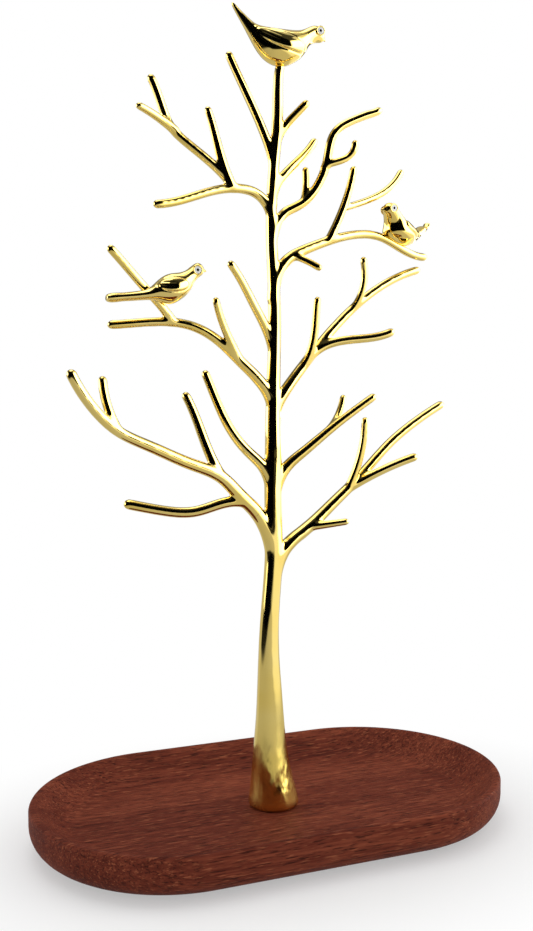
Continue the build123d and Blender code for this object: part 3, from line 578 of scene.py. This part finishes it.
def bark(place):
    """How far the bark stands out at a place on the trunk, in metres."""
    rise = place.z
    fade = clamp((RIDGE_TOP - rise) / RIDGE_TOP_FADE) * clamp((rise - RIDGE_FOOT) / RIDGE_FOOT_FADE)
    if fade == 0.0:
        return 0.0
    turn = math.atan2(place.y, place.x)
    drift = noise.noise(place * DRIFTS_PER_METRE)
    ridge = math.sin(RIDGES_ROUND * turn + DRIFT_TURN * drift + rise * RIDGE_TWIST)
    round_trunk = Vector((math.cos(turn) * FINE_RIDGES_ROUND, math.sin(turn) * FINE_RIDGES_ROUND, 0.0))
    fine_ridge = noise.noise(round_trunk + UP * (rise * FINE_RIDGE_RISE))
    return fade * RIDGE_DEPTH * (RIDGE_SHARE * ridge + FINE_RIDGE_SHARE * fine_ridge)


# %% Waist and flare of the foot
WAIST_TOP = 56.0 * MM
WAIST_LOW = 26.0 * MM
WAIST_DEPTH = 0.5 * MM
FLARE_TOP = 21.0 * MM
FLARE_FOOT = 8.0 * MM
FLARE_SPREAD = 0.85 * MM


def flare(place):
    """How far the foot spreads on the tray, less what the waist draws in, in metres."""
    share = clamp((FLARE_TOP - place.z) / (FLARE_TOP - FLARE_FOOT))
    slim = clamp((WAIST_TOP - place.z) / (WAIST_TOP - WAIST_LOW))
    return FLARE_SPREAD * share * share - WAIST_DEPTH * slim * slim * (3.0 - 2.0 * slim)


# %% Shape the trunk
WAVES_PER_METRE = 120.0
WAVE_DEPTH = 0.005 * MM
EVEN_ROUNDS = 10
STOUT_EVEN_ROUNDS = 60

shaped = [vert for vert in skin.verts if vert.co.z < RIDGE_TOP and abs(vert.co.x) < STOUT_REACH]
for vert in shaped:
    vert.co += vert.normal * bark(vert.co)
    vert.co += Vector((vert.normal.x, vert.normal.y, 0.0)) * flare(vert.co)
for vert in skin.verts:
    vert.co += vert.normal * (noise.noise(vert.co * WAVES_PER_METRE) * WAVE_DEPTH)
skin.normal_update()
even_normals(skin, EVEN_ROUNDS, STOUT_EVEN_ROUNDS)
print("trunk:", len(shaped), "corners shaped")

# %% [markdown]
# ## Parting the skin
# The limbs are cast apart and brazed on, so each of them stays a piece of its own. A face of the skin belongs to the
# CAD node whose surface is nearest, which a BVH tree finds quickly. For each node a copy of the skin keeps only that
# node's faces, and caps close it where the neighbours were. The caps lie hidden inside the joints.


# %% Part the skin where limbs are brazed on
def finish_piece(piece, material, slot, *nodes):
    """Gives a piece its material and hands it to the frame in place of CAD nodes."""
    piece.data.materials.clear()
    piece.data.materials.append(material)
    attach(piece, "root")
    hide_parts(*nodes)


label = skin.faces.layers.int.new("owner")
for face in skin.faces:
    found = owner_tree.find_nearest(face.calc_center_median())
    face[label] = TREE_NODES.index(owners[found[2]])
for index, name in enumerate(TREE_NODES):
    bm = skin.copy()
    label = bm.faces.layers.int["owner"]
    others = [face for face in bm.faces if face[label] != index]
    bmesh.ops.delete(bm, geom=others, context="FACES")
    for face in bm.faces:
        face.smooth = True
    rim = [edge for edge in bm.edges if edge.is_boundary]
    caps = bmesh.ops.holes_fill(bm, edges=rim, sides=0)["faces"]
    caps = bmesh.ops.triangulate(bm, faces=caps)["faces"]
    bmesh.ops.recalc_face_normals(bm, faces=bm.faces)
    count = len(bm.faces)
    piece = link_mesh("gold_" + name, bm)
    shade_by_kept(piece)
    finish_piece(piece, gold, "gold", name)
    print(piece.name, count, "faces,", len(caps), "cap faces")
skin.free()

# %% [markdown]
# ## Birds
# Each bird is its own casting. The CAD bird has the body, a raised wing on each side, the eye discs and the beak.
# A copy is remeshed and smoothed, which rounds all of these as polishing does. Then the breast is filled out, and
# feather grooves are pressed into the flanks: one round the wing and two along it. Carving such fine lines as
# solids would be slow, so the corners are moved along their normals by the distance to each line.

# %% Feather grooves
# Places on a wing are shares of its half length and half height, counted from its middle
WING_EDGE = 1.08
WING_EDGE_WIDTH = 0.13
FEATHER_LINES = (0.36, -0.22)
FEATHER_WIDTH = 0.17
FEATHER_SHARE = 0.7
FEATHER_FRONT = 0.25
FEATHER_FRONT_FADE = 0.4
FEATHER_RIM = 0.95
FEATHER_RIM_FADE = 0.2
FEATHER_SPLAY = 0.3
FEATHER_DROOP = 0.30
DROOP_FROM = -0.4


def groove(distance, width):
    """A smooth dent, 1 at its middle line and 0 beyond its width."""
    share = min(1.0, abs(distance) / width)
    return (1.0 - share * share) ** 2


def feather_lines(spot, wing):
    """How deep the feather grooves are at a spot on the flank, from 0 to 1."""
    centre_x, centre_z, half_length, half_height, tilt = wing
    turn = math.radians(tilt)
    along = ((spot.x - centre_x) * math.cos(turn) + (spot.z - centre_z) * math.sin(turn)) / half_length
    across = ((spot.z - centre_z) * math.cos(turn) - (spot.x - centre_x) * math.sin(turn)) / half_height
    from_middle = math.hypot(along, across)
    if from_middle > WING_EDGE + 2.0 * WING_EDGE_WIDTH:
        return 0.0
    deepest = groove(from_middle - WING_EDGE, WING_EDGE_WIDTH)
    fade = clamp((FEATHER_FRONT - along) / FEATHER_FRONT_FADE)
    fade *= clamp((FEATHER_RIM - from_middle) / FEATHER_RIM_FADE)
    for line in FEATHER_LINES:
        bend = line * (1.0 + FEATHER_SPLAY * along) - FEATHER_DROOP * (along - DROOP_FROM)
        deepest = max(deepest, FEATHER_SHARE * fade * groove(across - bend, FEATHER_WIDTH))
    return deepest


# %% Breast and flanks
PERCH_TOP = 0.6 * MM
PERCH_FADE = 1.8 * MM
TAIL_END = -5.0 * MM
TAIL_FADE = 6.0 * MM
FEATHER_DEPTH = 0.20 * MM
FLANK_FROM = 1.5 * MM
GROOVE_ROUNDS = 2


def full_breast(spot, middle, spread):
    """How much of the extra fullness a spot gets: most at the breast's middle, none on the tail and the perch."""
    low = math.exp(-(((spot.z - middle) / spread) ** 2))
    clear_of_perch = clamp((spot.z - PERCH_TOP) / PERCH_FADE)
    clear_of_tail = clamp((spot.x - TAIL_END) / TAIL_FADE)
    return low * clear_of_perch * clear_of_tail


def shape_bird(bm, to_bird, wing, breast):
    """Fills the breast out and presses the feather grooves into the flanks."""
    fullness, middle, spread = breast
    for vert in bm.verts:
        outwards = Vector((vert.normal.x, vert.normal.y, 0.0))
        vert.co += outwards * (fullness * full_breast(to_bird @ vert.co, middle, spread))
    bm.normal_update()
    for vert in bm.verts:
        spot = to_bird @ vert.co
        depth = feather_lines(spot, wing)
        if depth > 0.0 and abs(spot.y) > FLANK_FROM:
            vert.co -= vert.normal * (FEATHER_DEPTH * depth)
    smooth_rounds(bm, bm.verts, GROOVE_ROUNDS)
    bm.normal_update()


# %% [markdown]
# ## Eyes of the birds
# An eye is a gold ring round a plate with a pupil. The ring is a small circle that is spun, and the plate and
# the pupil are flattened balls. All of it joins the bird's mesh, so the corners of the plate and the pupil are found
# again by an exact test, whether they lie on such a ball, and marked for the gold material, which paints a white
# highlight on the plate and black shade on the pupil.

# %% Model an eye
RING_RADIUS = 1.5 * MM
RING_TUBE = 0.26 * MM
PLATE_FLATNESS = 0.12
PUPIL_SHARE = 0.36
PUPIL_FLATNESS = 0.7
ON_EDGE = math.radians(90.0)


def ring_eye(bm):
    """A ring with a plate for a painted white highlight and a pupil, lying flat round the Z axis."""
    tube = bmesh.ops.create_circle(bm, segments=12, radius=RING_TUBE)["verts"]
    bmesh.ops.rotate(bm, verts=tube, cent=(0, 0, 0), matrix=Matrix.Rotation(ON_EDGE, 3, "X"))
    bmesh.ops.translate(bm, verts=tube, vec=(RING_RADIUS, 0, 0))
    sides = list({edge for vert in tube for edge in vert.link_edges})
    bmesh.ops.spin(
        bm, geom=tube + sides, cent=(0, 0, 0), axis=(0, 0, 1), angle=math.tau, steps=36, use_merge=True
    )
    plate = bmesh.ops.create_uvsphere(bm, u_segments=32, v_segments=12, radius=RING_RADIUS)["verts"]
    bmesh.ops.scale(bm, vec=(1, 1, PLATE_FLATNESS), verts=plate)
    pupil = bmesh.ops.create_uvsphere(bm, u_segments=20, v_segments=12, radius=RING_RADIUS * PUPIL_SHARE)["verts"]
    bmesh.ops.scale(bm, vec=(1, 1, PUPIL_FLATNESS), verts=pupil)


# %% Put the eyes on a head
def add_eyes(bm, to_head, head_half, eye_up):
    """Puts an eye on each side of the head, and gives the two ways from the frame back to an eye."""
    to_eyes = []
    for side in (-1, 1):
        outward = Matrix.Translation((0, side * head_half, eye_up)) @ Matrix.Rotation(ON_EDGE, 4, "X")
        eye_mesh = bmesh.new()
        ring_eye(eye_mesh)
        bmesh.ops.transform(eye_mesh, matrix=to_head @ outward, verts=eye_mesh.verts)
        data = bpy.data.meshes.new("eye")
        eye_mesh.to_mesh(data)
        eye_mesh.free()
        bm.from_mesh(data)
        bpy.data.meshes.remove(data)
        to_eyes.append((to_head @ outward).inverted())
    return to_eyes


# %% Mark the plates and pupils
BALL_TOLERANCE = 0.01


def lies_on(place, radius, flatness):
    """Whether a place, seen from the middle of an eye, lies on a flattened ball of the eye."""
    stretched = Vector((place.x, place.y, place.z / flatness))
    return abs(stretched.length / radius - 1.0) < BALL_TOLERANCE


def mark_eyes(piece, to_eyes):
    """Marks the corners of the pupils for painted shade and of the plates for a painted highlight."""
    # The pupils get painted shade and the plates a painted highlight
    balls = (("painted_pupil_shade", RING_RADIUS * PUPIL_SHARE, PUPIL_FLATNESS), ("painted_eye_highlight", RING_RADIUS, PLATE_FLATNESS))
    for name, radius, flatness in balls:
        marks = piece.data.attributes.new(name, "FLOAT", "POINT")
        for vert, mark in zip(piece.data.vertices, marks.data):
            mark.value = float(any(lies_on(to_eye @ vert.co, radius, flatness) for to_eye in to_eyes))


# %% [markdown]
# ## Placing the birds
# The CAD birds are already in place, and they look different ways. So each corner is looked up in the bird's own
# frame, with the beak along +X and the perch at the origin. That way one function makes all three birds, and only
# their sizes differ.

# %% One bird
BIRD_VOXEL = 0.22 * MM
BIRD_ROUNDS = 4
BIRD_REGAIN = 0.04 * MM
BIRD_EVEN_ROUNDS = 5


def make_bird(node, place, turn, wing, eye, head_half, head_turn, breast):
    """One bird piece: the melted casting, its breast, its feather grooves and its ring eyes."""
    eye_along, eye_up = eye
    to_frame = Matrix.Translation(place) @ Matrix.Rotation(math.radians(turn), 4, "Z")
    to_head = to_frame @ Matrix.Translation((eye_along, 0, 0)) @ Matrix.Rotation(math.radians(head_turn), 4, "Z")
    bm = remeshed(cad_copy(node), BIRD_VOXEL)
    keep_largest(bm)
    polish_skin(bm, list(bm.verts), BIRD_ROUNDS, BIRD_REGAIN)
    bm.normal_update()
    shape_bird(bm, to_frame.inverted(), wing, breast)
    even_normals(bm, BIRD_EVEN_ROUNDS)
    to_eyes = add_eyes(bm, to_head, head_half, eye_up)
    for face in bm.faces:
        face.smooth = True
    bmesh.ops.recalc_face_normals(bm, faces=bm.faces)
    count = len(bm.faces)
    piece = link_mesh("gold_" + node, bm)
    shade_by_kept(piece)
    mark_eyes(piece, to_eyes)
    finish_piece(piece, gold, "gold", node)
    print(piece.name, count, "faces")


# %% Make the three birds
# Each wing is (middle along, middle up, half length, half height, tilt), and each eye is (along, up)
# Each breast is (extra fullness, height of its middle, spread up and down)
CROWN_WING = (-1.09 * MM, 7.6 * MM, 9.08 * MM, 2.89 * MM, -18.0)
CROWN_EYE = (14.34 * MM, 12.69 * MM)
CROWN_BREAST = (0.6 * MM, 4.2 * MM, 3.2 * MM)
LEFT_WING = (2.15 * MM, 6.42 * MM, 5.2 * MM, 2.41 * MM, 3.0)
LEFT_EYE = (10.88 * MM, 11.78 * MM)
LEFT_BREAST = (0.4 * MM, 4.2 * MM, 3.2 * MM)
RIGHT_WING = (-1.65 * MM, 6.3 * MM, 6.6 * MM, 2.48 * MM, 14.0)
RIGHT_EYE = (9.8 * MM, 12.6 * MM)
RIGHT_BREAST = (1.6 * MM, 3.6 * MM, 3.0 * MM)

make_bird(
    "crown_bird", Vector((2.6, 0.0, 278.7)) * MM, turn=0.0,
    wing=CROWN_WING, eye=CROWN_EYE, head_half=3.43 * MM, head_turn=0.0, breast=CROWN_BREAST,
)
make_bird(
    "left_bird", Vector((-41.46, -2.6, 192.37)) * MM, turn=0.0,
    wing=LEFT_WING, eye=LEFT_EYE, head_half=3.13 * MM, head_turn=0.0, breast=LEFT_BREAST,
)
make_bird(
    "right_bird", Vector((54.81, 4.17, 217.79)) * MM, turn=213.0,
    wing=RIGHT_WING, eye=RIGHT_EYE, head_half=3.23 * MM, head_turn=-28.0, breast=RIGHT_BREAST,
)

# %% [markdown]
# ## Tray
# The tray is one board with a slot outline. A single profile, from the middle of the dish over the rim to the middle
# of the underside, is drawn once and its corners are bevelled round. Spinning it half a turn makes one end, pulling
# both open sides to the middle makes half of the straight part, and a mirror makes the rest.

# %% Draw the tray's profile
tray_low, tray_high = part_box("tray")
TRAY_HALF_LENGTH = tray_high.x
TRAY_HALF_WIDTH = tray_high.y
TRAY_TOP = tray_high.z
TRAY_UNDER = tray_low.z
DISH_FLOOR = 8.0 * MM
DISH_WALL_RUN = 10.13 * MM
RIM_WIDTH = 2.4 * MM
COVE_ROUND = 5.1 * MM
RIM_INNER_ROUND = 0.47 * MM
RIM_OUTER_ROUND = 1.3 * MM
UNDER_ROUND = 9.5 * MM
CORNERS = [
    (0.0, DISH_FLOOR, 0.0),
    (TRAY_HALF_WIDTH - RIM_WIDTH - DISH_WALL_RUN, DISH_FLOOR, COVE_ROUND),
    (TRAY_HALF_WIDTH - RIM_WIDTH, TRAY_TOP, RIM_INNER_ROUND),
    (TRAY_HALF_WIDTH, TRAY_TOP, RIM_OUTER_ROUND),
    (TRAY_HALF_WIDTH, TRAY_UNDER, UNDER_ROUND),
    (0.0, TRAY_UNDER, 0.0),
]
end_centre = TRAY_HALF_LENGTH - TRAY_HALF_WIDTH

bm = bmesh.new()
profile = [bm.verts.new((end_centre, -out, rise)) for out, rise, rounding in CORNERS]
for first, second in zip(profile, profile[1:]):
    bm.edges.new((first, second))
for vert, (out, rise, rounding) in zip(profile, CORNERS):
    if rounding:
        bmesh.ops.bevel(
            bm, geom=[vert], offset=rounding, offset_type="OFFSET", affect="VERTICES", segments=10, profile=0.5,
            material=-1,
        )
print("tray profile:", len(bm.verts), "points")

# %% Spin, pull and mirror the profile
ROUND_STEPS = 72
TRAY_MERGE = 0.01 * MM

bmesh.ops.spin(
    bm, geom=list(bm.verts) + list(bm.edges), cent=(end_centre, 0, 0), axis=(0, 0, 1), angle=math.pi,
    steps=ROUND_STEPS, use_merge=False,
)
bmesh.ops.remove_doubles(bm, verts=bm.verts, dist=TRAY_MERGE)
open_sides = [edge for edge in bm.edges if edge.is_boundary]
pulled = bmesh.ops.extrude_edge_only(bm, edges=open_sides)["geom"]
for vert in [item for item in pulled if isinstance(item, bmesh.types.BMVert)]:
    vert.co.x = 0.0
bmesh.ops.remove_doubles(bm, verts=bm.verts, dist=TRAY_MERGE)
bmesh.ops.mirror(bm, geom=list(bm.verts) + list(bm.edges) + list(bm.faces), axis="X", merge_dist=TRAY_MERGE)
bmesh.ops.remove_doubles(bm, verts=bm.verts, dist=TRAY_MERGE)
bmesh.ops.recalc_face_normals(bm, faces=bm.faces)
for face in bm.faces:
    face.smooth = True
print("tray shell:", len(bm.faces), "faces,", sum(edge.is_boundary for edge in bm.edges), "open edges")
tray = link_mesh("wood_tray", bm)

# %% [markdown]
# ## Hole for the screw
# A screw from below holds the tree, and its head and washers sit in a counterbore. A Boolean modifier with the exact
# solver takes two round cutters away from the finished shell, which is simpler than leading the faces round a hole.
# The result becomes the tray's own mesh, and edges that turn sharply are shaded sharp.

# %% Cut the counterbore under the tray
COUNTERBORE_RADIUS = 6.5 * MM
COUNTERBORE_DEPTH = 4.2 * MM
SCREW_HOLE_RADIUS = 2.8 * MM
CUTTER_SPARE = 1.0 * MM
SHARP_ANGLE = math.radians(35.0)


def hole_cutter(name, radius, low, high):
    """A round cutter between two heights, to be taken away from the tray."""
    bm = bmesh.new()
    bmesh.ops.create_cone(
        bm, cap_ends=True, segments=48, radius1=radius, radius2=radius, depth=high - low,
        matrix=Matrix.Translation((0, 0, (low + high) / 2)),
    )
    return link_mesh(name, bm)


cutters = [
    hole_cutter("counterbore", COUNTERBORE_RADIUS, TRAY_UNDER - CUTTER_SPARE, TRAY_UNDER + COUNTERBORE_DEPTH),
    hole_cutter("screw_hole", SCREW_HOLE_RADIUS, TRAY_UNDER - CUTTER_SPARE, DISH_FLOOR + CUTTER_SPARE),
]
for cutter in cutters:
    modifier = tray.modifiers.new(cutter.name, "BOOLEAN")
    modifier.operation = "DIFFERENCE"
    modifier.solver = "EXACT"
    modifier.object = cutter
bpy.context.view_layer.update()
graph = bpy.context.evaluated_depsgraph_get()
cut_data = bpy.data.meshes.new_from_object(tray.evaluated_get(graph))
tray.modifiers.clear()
tray.data = cut_data
for cutter in cutters:
    bpy.data.objects.remove(cutter)
bm = bmesh.new()
bm.from_mesh(tray.data)
for edge in bm.edges:
    if len(edge.link_faces) == 2 and edge.calc_face_angle() > SHARP_ANGLE:
        edge.smooth = False
bm.to_mesh(tray.data)
bm.free()
finish_piece(tray, wood, "wood", "tray")
print("tray:", len(tray.data.polygons), "faces")

# %% [markdown]
# ## Floor
# The photograph has a white ground with a soft shadow. The floor is a plain pale sheet that keeps the shadow, and
# Light Path lets the camera see it fade to white away from the tray. Polished gold only shows what stands around it,
# so for glossy rays the floor is painted light instead: an emission in soft patches, bright to the right and behind,
# dark in front and at the left, which the gold shows as painted reflections. Each patch is a soft step along one of
# the studio's directions.

# %% Lay the floor
# Towards the camera, and towards the right of the picture
FRONT = Vector((-0.378, -0.926, 0.0))
RIGHT = Vector((0.926, -0.378, 0.0))
FLOOR_REACH = 6.0
FLOOR_COLOUR = (0.93, 0.93, 0.93, 1.0)
FLOOR_ROUGHNESS = 0.7
FLOOR_SPECULAR = 0.1

bm = bmesh.new()
bmesh.ops.create_grid(bm, x_segments=1, y_segments=1, size=FLOOR_REACH)
floor = link_mesh("floor", bm)
floor_material, tree, shader = new_material("pale_floor")
floor.data.materials.append(floor_material)
shader.inputs["Roughness"].default_value = FLOOR_ROUGHNESS
shader.inputs["Specular IOR Level"].default_value = FLOOR_SPECULAR
shader.inputs["Base Color"].default_value = FLOOR_COLOUR
spot = tree.nodes.new("ShaderNodeTexCoord").outputs["Object"]
rays = tree.nodes.new("ShaderNodeLightPath")
print("floor:", 2.0 * FLOOR_REACH, "m wide")

# %% What the gold sees of the floor
# Painted light: glowing and dark patches of emission that only glossy rays see
near_glow = soft_step(tree, spot, RIGHT, start=-0.30, end=0.16, low=0.47, high=0.60)
right_glow = soft_step(tree, spot, RIGHT, start=0.16, end=0.30, low=0.50, high=1.1)
far_right = soft_step(tree, spot, RIGHT, start=0.60, end=0.90, low=0.0, high=3.5)
dark_front = soft_step(tree, spot, FRONT - 0.5 * RIGHT, start=0.56, end=0.72, low=1.0, high=0.02)
dark_left = soft_step(tree, spot, 0.4 * FRONT - RIGHT, start=0.32, end=0.42, low=1.0, high=0.03)
lit_back = soft_step(tree, spot, -FRONT - 0.12 * RIGHT, start=0.02, end=0.10, low=0.0, high=0.62)
lit = combine(tree, "MAXIMUM", combine(tree, "MAXIMUM", near_glow, right_glow), far_right)
lit = combine(tree, "MULTIPLY", lit, combine(tree, "MULTIPLY", dark_front, dark_left))
lit = combine(tree, "MAXIMUM", lit, lit_back)
mirrored = add_node(tree, "ShaderNodeEmission")
tree.links.new(lit, mirrored.inputs["Strength"])
print("floor patches:", len(tree.nodes), "nodes so far")

# %% What the camera sees of the floor
SHADOW_OVAL = (1.0, 1.4, 0.0)
SHADOW_FULL = 85.0 * MM
SHADOW_END = 160.0 * MM
SHADOW_WHITE = 0.42

oval = add_node(tree, "ShaderNodeVectorMath", operation="MULTIPLY")
oval.inputs[1].default_value = SHADOW_OVAL
away = add_node(tree, "ShaderNodeVectorMath", operation="LENGTH")
fade = add_node(
    tree, "ShaderNodeMapRange", interpolation_type="SMOOTHSTEP",
    From_Min=SHADOW_FULL, From_Max=SHADOW_END, To_Min=SHADOW_WHITE,
)
tree.links.new(spot, oval.inputs[0])
tree.links.new(oval.outputs["Vector"], away.inputs[0])
tree.links.new(away.outputs["Value"], fade.inputs["Value"])
white_share = combine(tree, "MULTIPLY", rays.outputs["Is Camera Ray"], fade.outputs["Result"])
backdrop = add_node(tree, "ShaderNodeEmission", Strength=1.0)
seen_mix = tree.nodes.new("ShaderNodeMixShader")
glossy_mix = tree.nodes.new("ShaderNodeMixShader")
tree.links.new(white_share, seen_mix.inputs[0])
tree.links.new(shader.outputs["BSDF"], seen_mix.inputs[1])
tree.links.new(backdrop.outputs["Emission"], seen_mix.inputs[2])
tree.links.new(rays.outputs["Is Glossy Ray"], glossy_mix.inputs[0])
tree.links.new(seen_mix.outputs["Shader"], glossy_mix.inputs[1])
tree.links.new(mirrored.outputs["Emission"], glossy_mix.inputs[2])
tree.links.new(glossy_mix.outputs["Shader"], tree.nodes["Material Output"].inputs["Surface"])
print("made", floor_material.name)

# %% [markdown]
# ## Studio round the object
# The world is the rest of the room. To the camera it is white, and to the wood it is a soft, even light. To the
# gold it is a dim room with a dark card where the camera stands, a bright panel on the right, a strip on the left
# and a tilted panel overhead. They give each rod its dark middle and bright edges. Real cards could be put up as
# planes, but then they would also block the lamps and show in other views.

# %% Cards of the studio
world = bpy.data.worlds.new("studio")
scene.world = world
world.use_nodes = True
tree = world.node_tree
tree.nodes.clear()
way = tree.nodes.new("ShaderNodeTexCoord").outputs["Generated"]
rays = tree.nodes.new("ShaderNodeLightPath")
flat = add_node(tree, "ShaderNodeVectorMath", operation="MULTIPLY")
flat.inputs[1].default_value = (1.0, 1.0, 0.0)
level_node = add_node(tree, "ShaderNodeVectorMath", operation="NORMALIZE")
tree.links.new(way, flat.inputs[0])
tree.links.new(flat.outputs["Vector"], level_node.inputs[0])
level = level_node.outputs["Vector"]


def card(angle, edge, full, top, top_full, strength):
    """A card round the studio: its angle to the right of the camera, its soft side and top edges, its strength."""
    towards = FRONT * math.cos(math.radians(angle)) + RIGHT * math.sin(math.radians(angle))
    side = soft_step(tree, level, towards, edge, full)
    height = soft_step(tree, way, UP, top_full, top, strength, 0.0)
    return combine(tree, "MULTIPLY", side, height)


right_panel = card(94.0, edge=0.70, full=0.80, top=0.74, top_full=0.60, strength=4.5)
left_strip = card(-106.0, edge=0.80, full=0.90, top=0.50, top_full=0.30, strength=3.5)
dark_card = card(-6.0, edge=0.54, full=0.66, top=0.86, top_full=0.72, strength=1.0)
walls = soft_step(tree, level, -FRONT, start=-0.1, end=0.5, low=0.05, high=0.22)
top_panel = soft_step(tree, way, 0.94 * UP - 0.34 * FRONT, start=0.79, end=0.87, low=0.0, high=0.55)
print("studio cards:", len(tree.nodes), "nodes so far")

# %% Put the studio together
SOFT_LIGHT = 0.60
CARD_BLACK = 1.01

not_dark = add_node(tree, "ShaderNodeMath", operation="SUBTRACT")
not_dark.inputs[0].default_value = CARD_BLACK
tree.links.new(dark_card, not_dark.inputs[1])
panels = combine(tree, "MULTIPLY", walls, not_dark.outputs["Value"])
for lit_card in (top_panel, right_panel, left_strip):
    panels = combine(tree, "MAXIMUM", panels, lit_card)
mirrored = add_node(tree, "ShaderNodeBackground")
tree.links.new(panels, mirrored.inputs["Strength"])
soft = add_node(tree, "ShaderNodeBackground", Strength=SOFT_LIGHT)
white = add_node(tree, "ShaderNodeBackground", Strength=1.0)
for node in (mirrored, soft, white):
    node.inputs["Color"].default_value = (1.0, 1.0, 1.0, 1.0)
glossy_mix = tree.nodes.new("ShaderNodeMixShader")
seen_mix = tree.nodes.new("ShaderNodeMixShader")
output = tree.nodes.new("ShaderNodeOutputWorld")
seen = combine(tree, "MAXIMUM", rays.outputs["Is Camera Ray"], rays.outputs["Is Transmission Ray"])
tree.links.new(rays.outputs["Is Glossy Ray"], glossy_mix.inputs[0])
tree.links.new(soft.outputs["Background"], glossy_mix.inputs[1])
tree.links.new(mirrored.outputs["Background"], glossy_mix.inputs[2])
tree.links.new(seen, seen_mix.inputs[0])
tree.links.new(glossy_mix.outputs["Shader"], seen_mix.inputs[1])
tree.links.new(white.outputs["Background"], seen_mix.inputs[2])
tree.links.new(seen_mix.outputs["Shader"], output.inputs["Surface"])
print("made the world", world.name)

# %% [markdown]
# ## Lamps
# Three soft boxes light the wood and cast the soft shadow: a key from the right, a weak fill from the left and a
# broad one overhead. One large lamp would be simpler, but the rim of the dish would look flat. Their level is plain,
# so that a colour renders about as it is written.

# %% Set up the lamps
MIDDLE = (0.0, 0.0, 0.13)


def soft_box(name, place, width, height, power):
    """A soft box lamp that points at the middle of the tree."""
    data = bpy.data.lights.new(name, "AREA")
    data.shape = "RECTANGLE"
    data.size = width
    data.size_y = height
    data.energy = power
    lamp = bpy.data.objects.new(name, data)
    scene.collection.objects.link(lamp)
    lamp.location = place
    lamp.rotation_euler = (Vector(MIDDLE) - Vector(place)).to_track_quat("-Z", "Y").to_euler()


soft_box("key_panel", place=(0.75, -0.25, 0.75), width=0.5, height=0.9, power=1.2)
soft_box("fill_panel", place=(-0.95, 0.25, 0.15), width=0.3, height=0.5, power=0.8)
soft_box("top_panel", place=(-0.10, 0.15, 1.1), width=0.8, height=0.6, power=3.2)
print("lamps:", [lamp.name for lamp in bpy.data.lights])
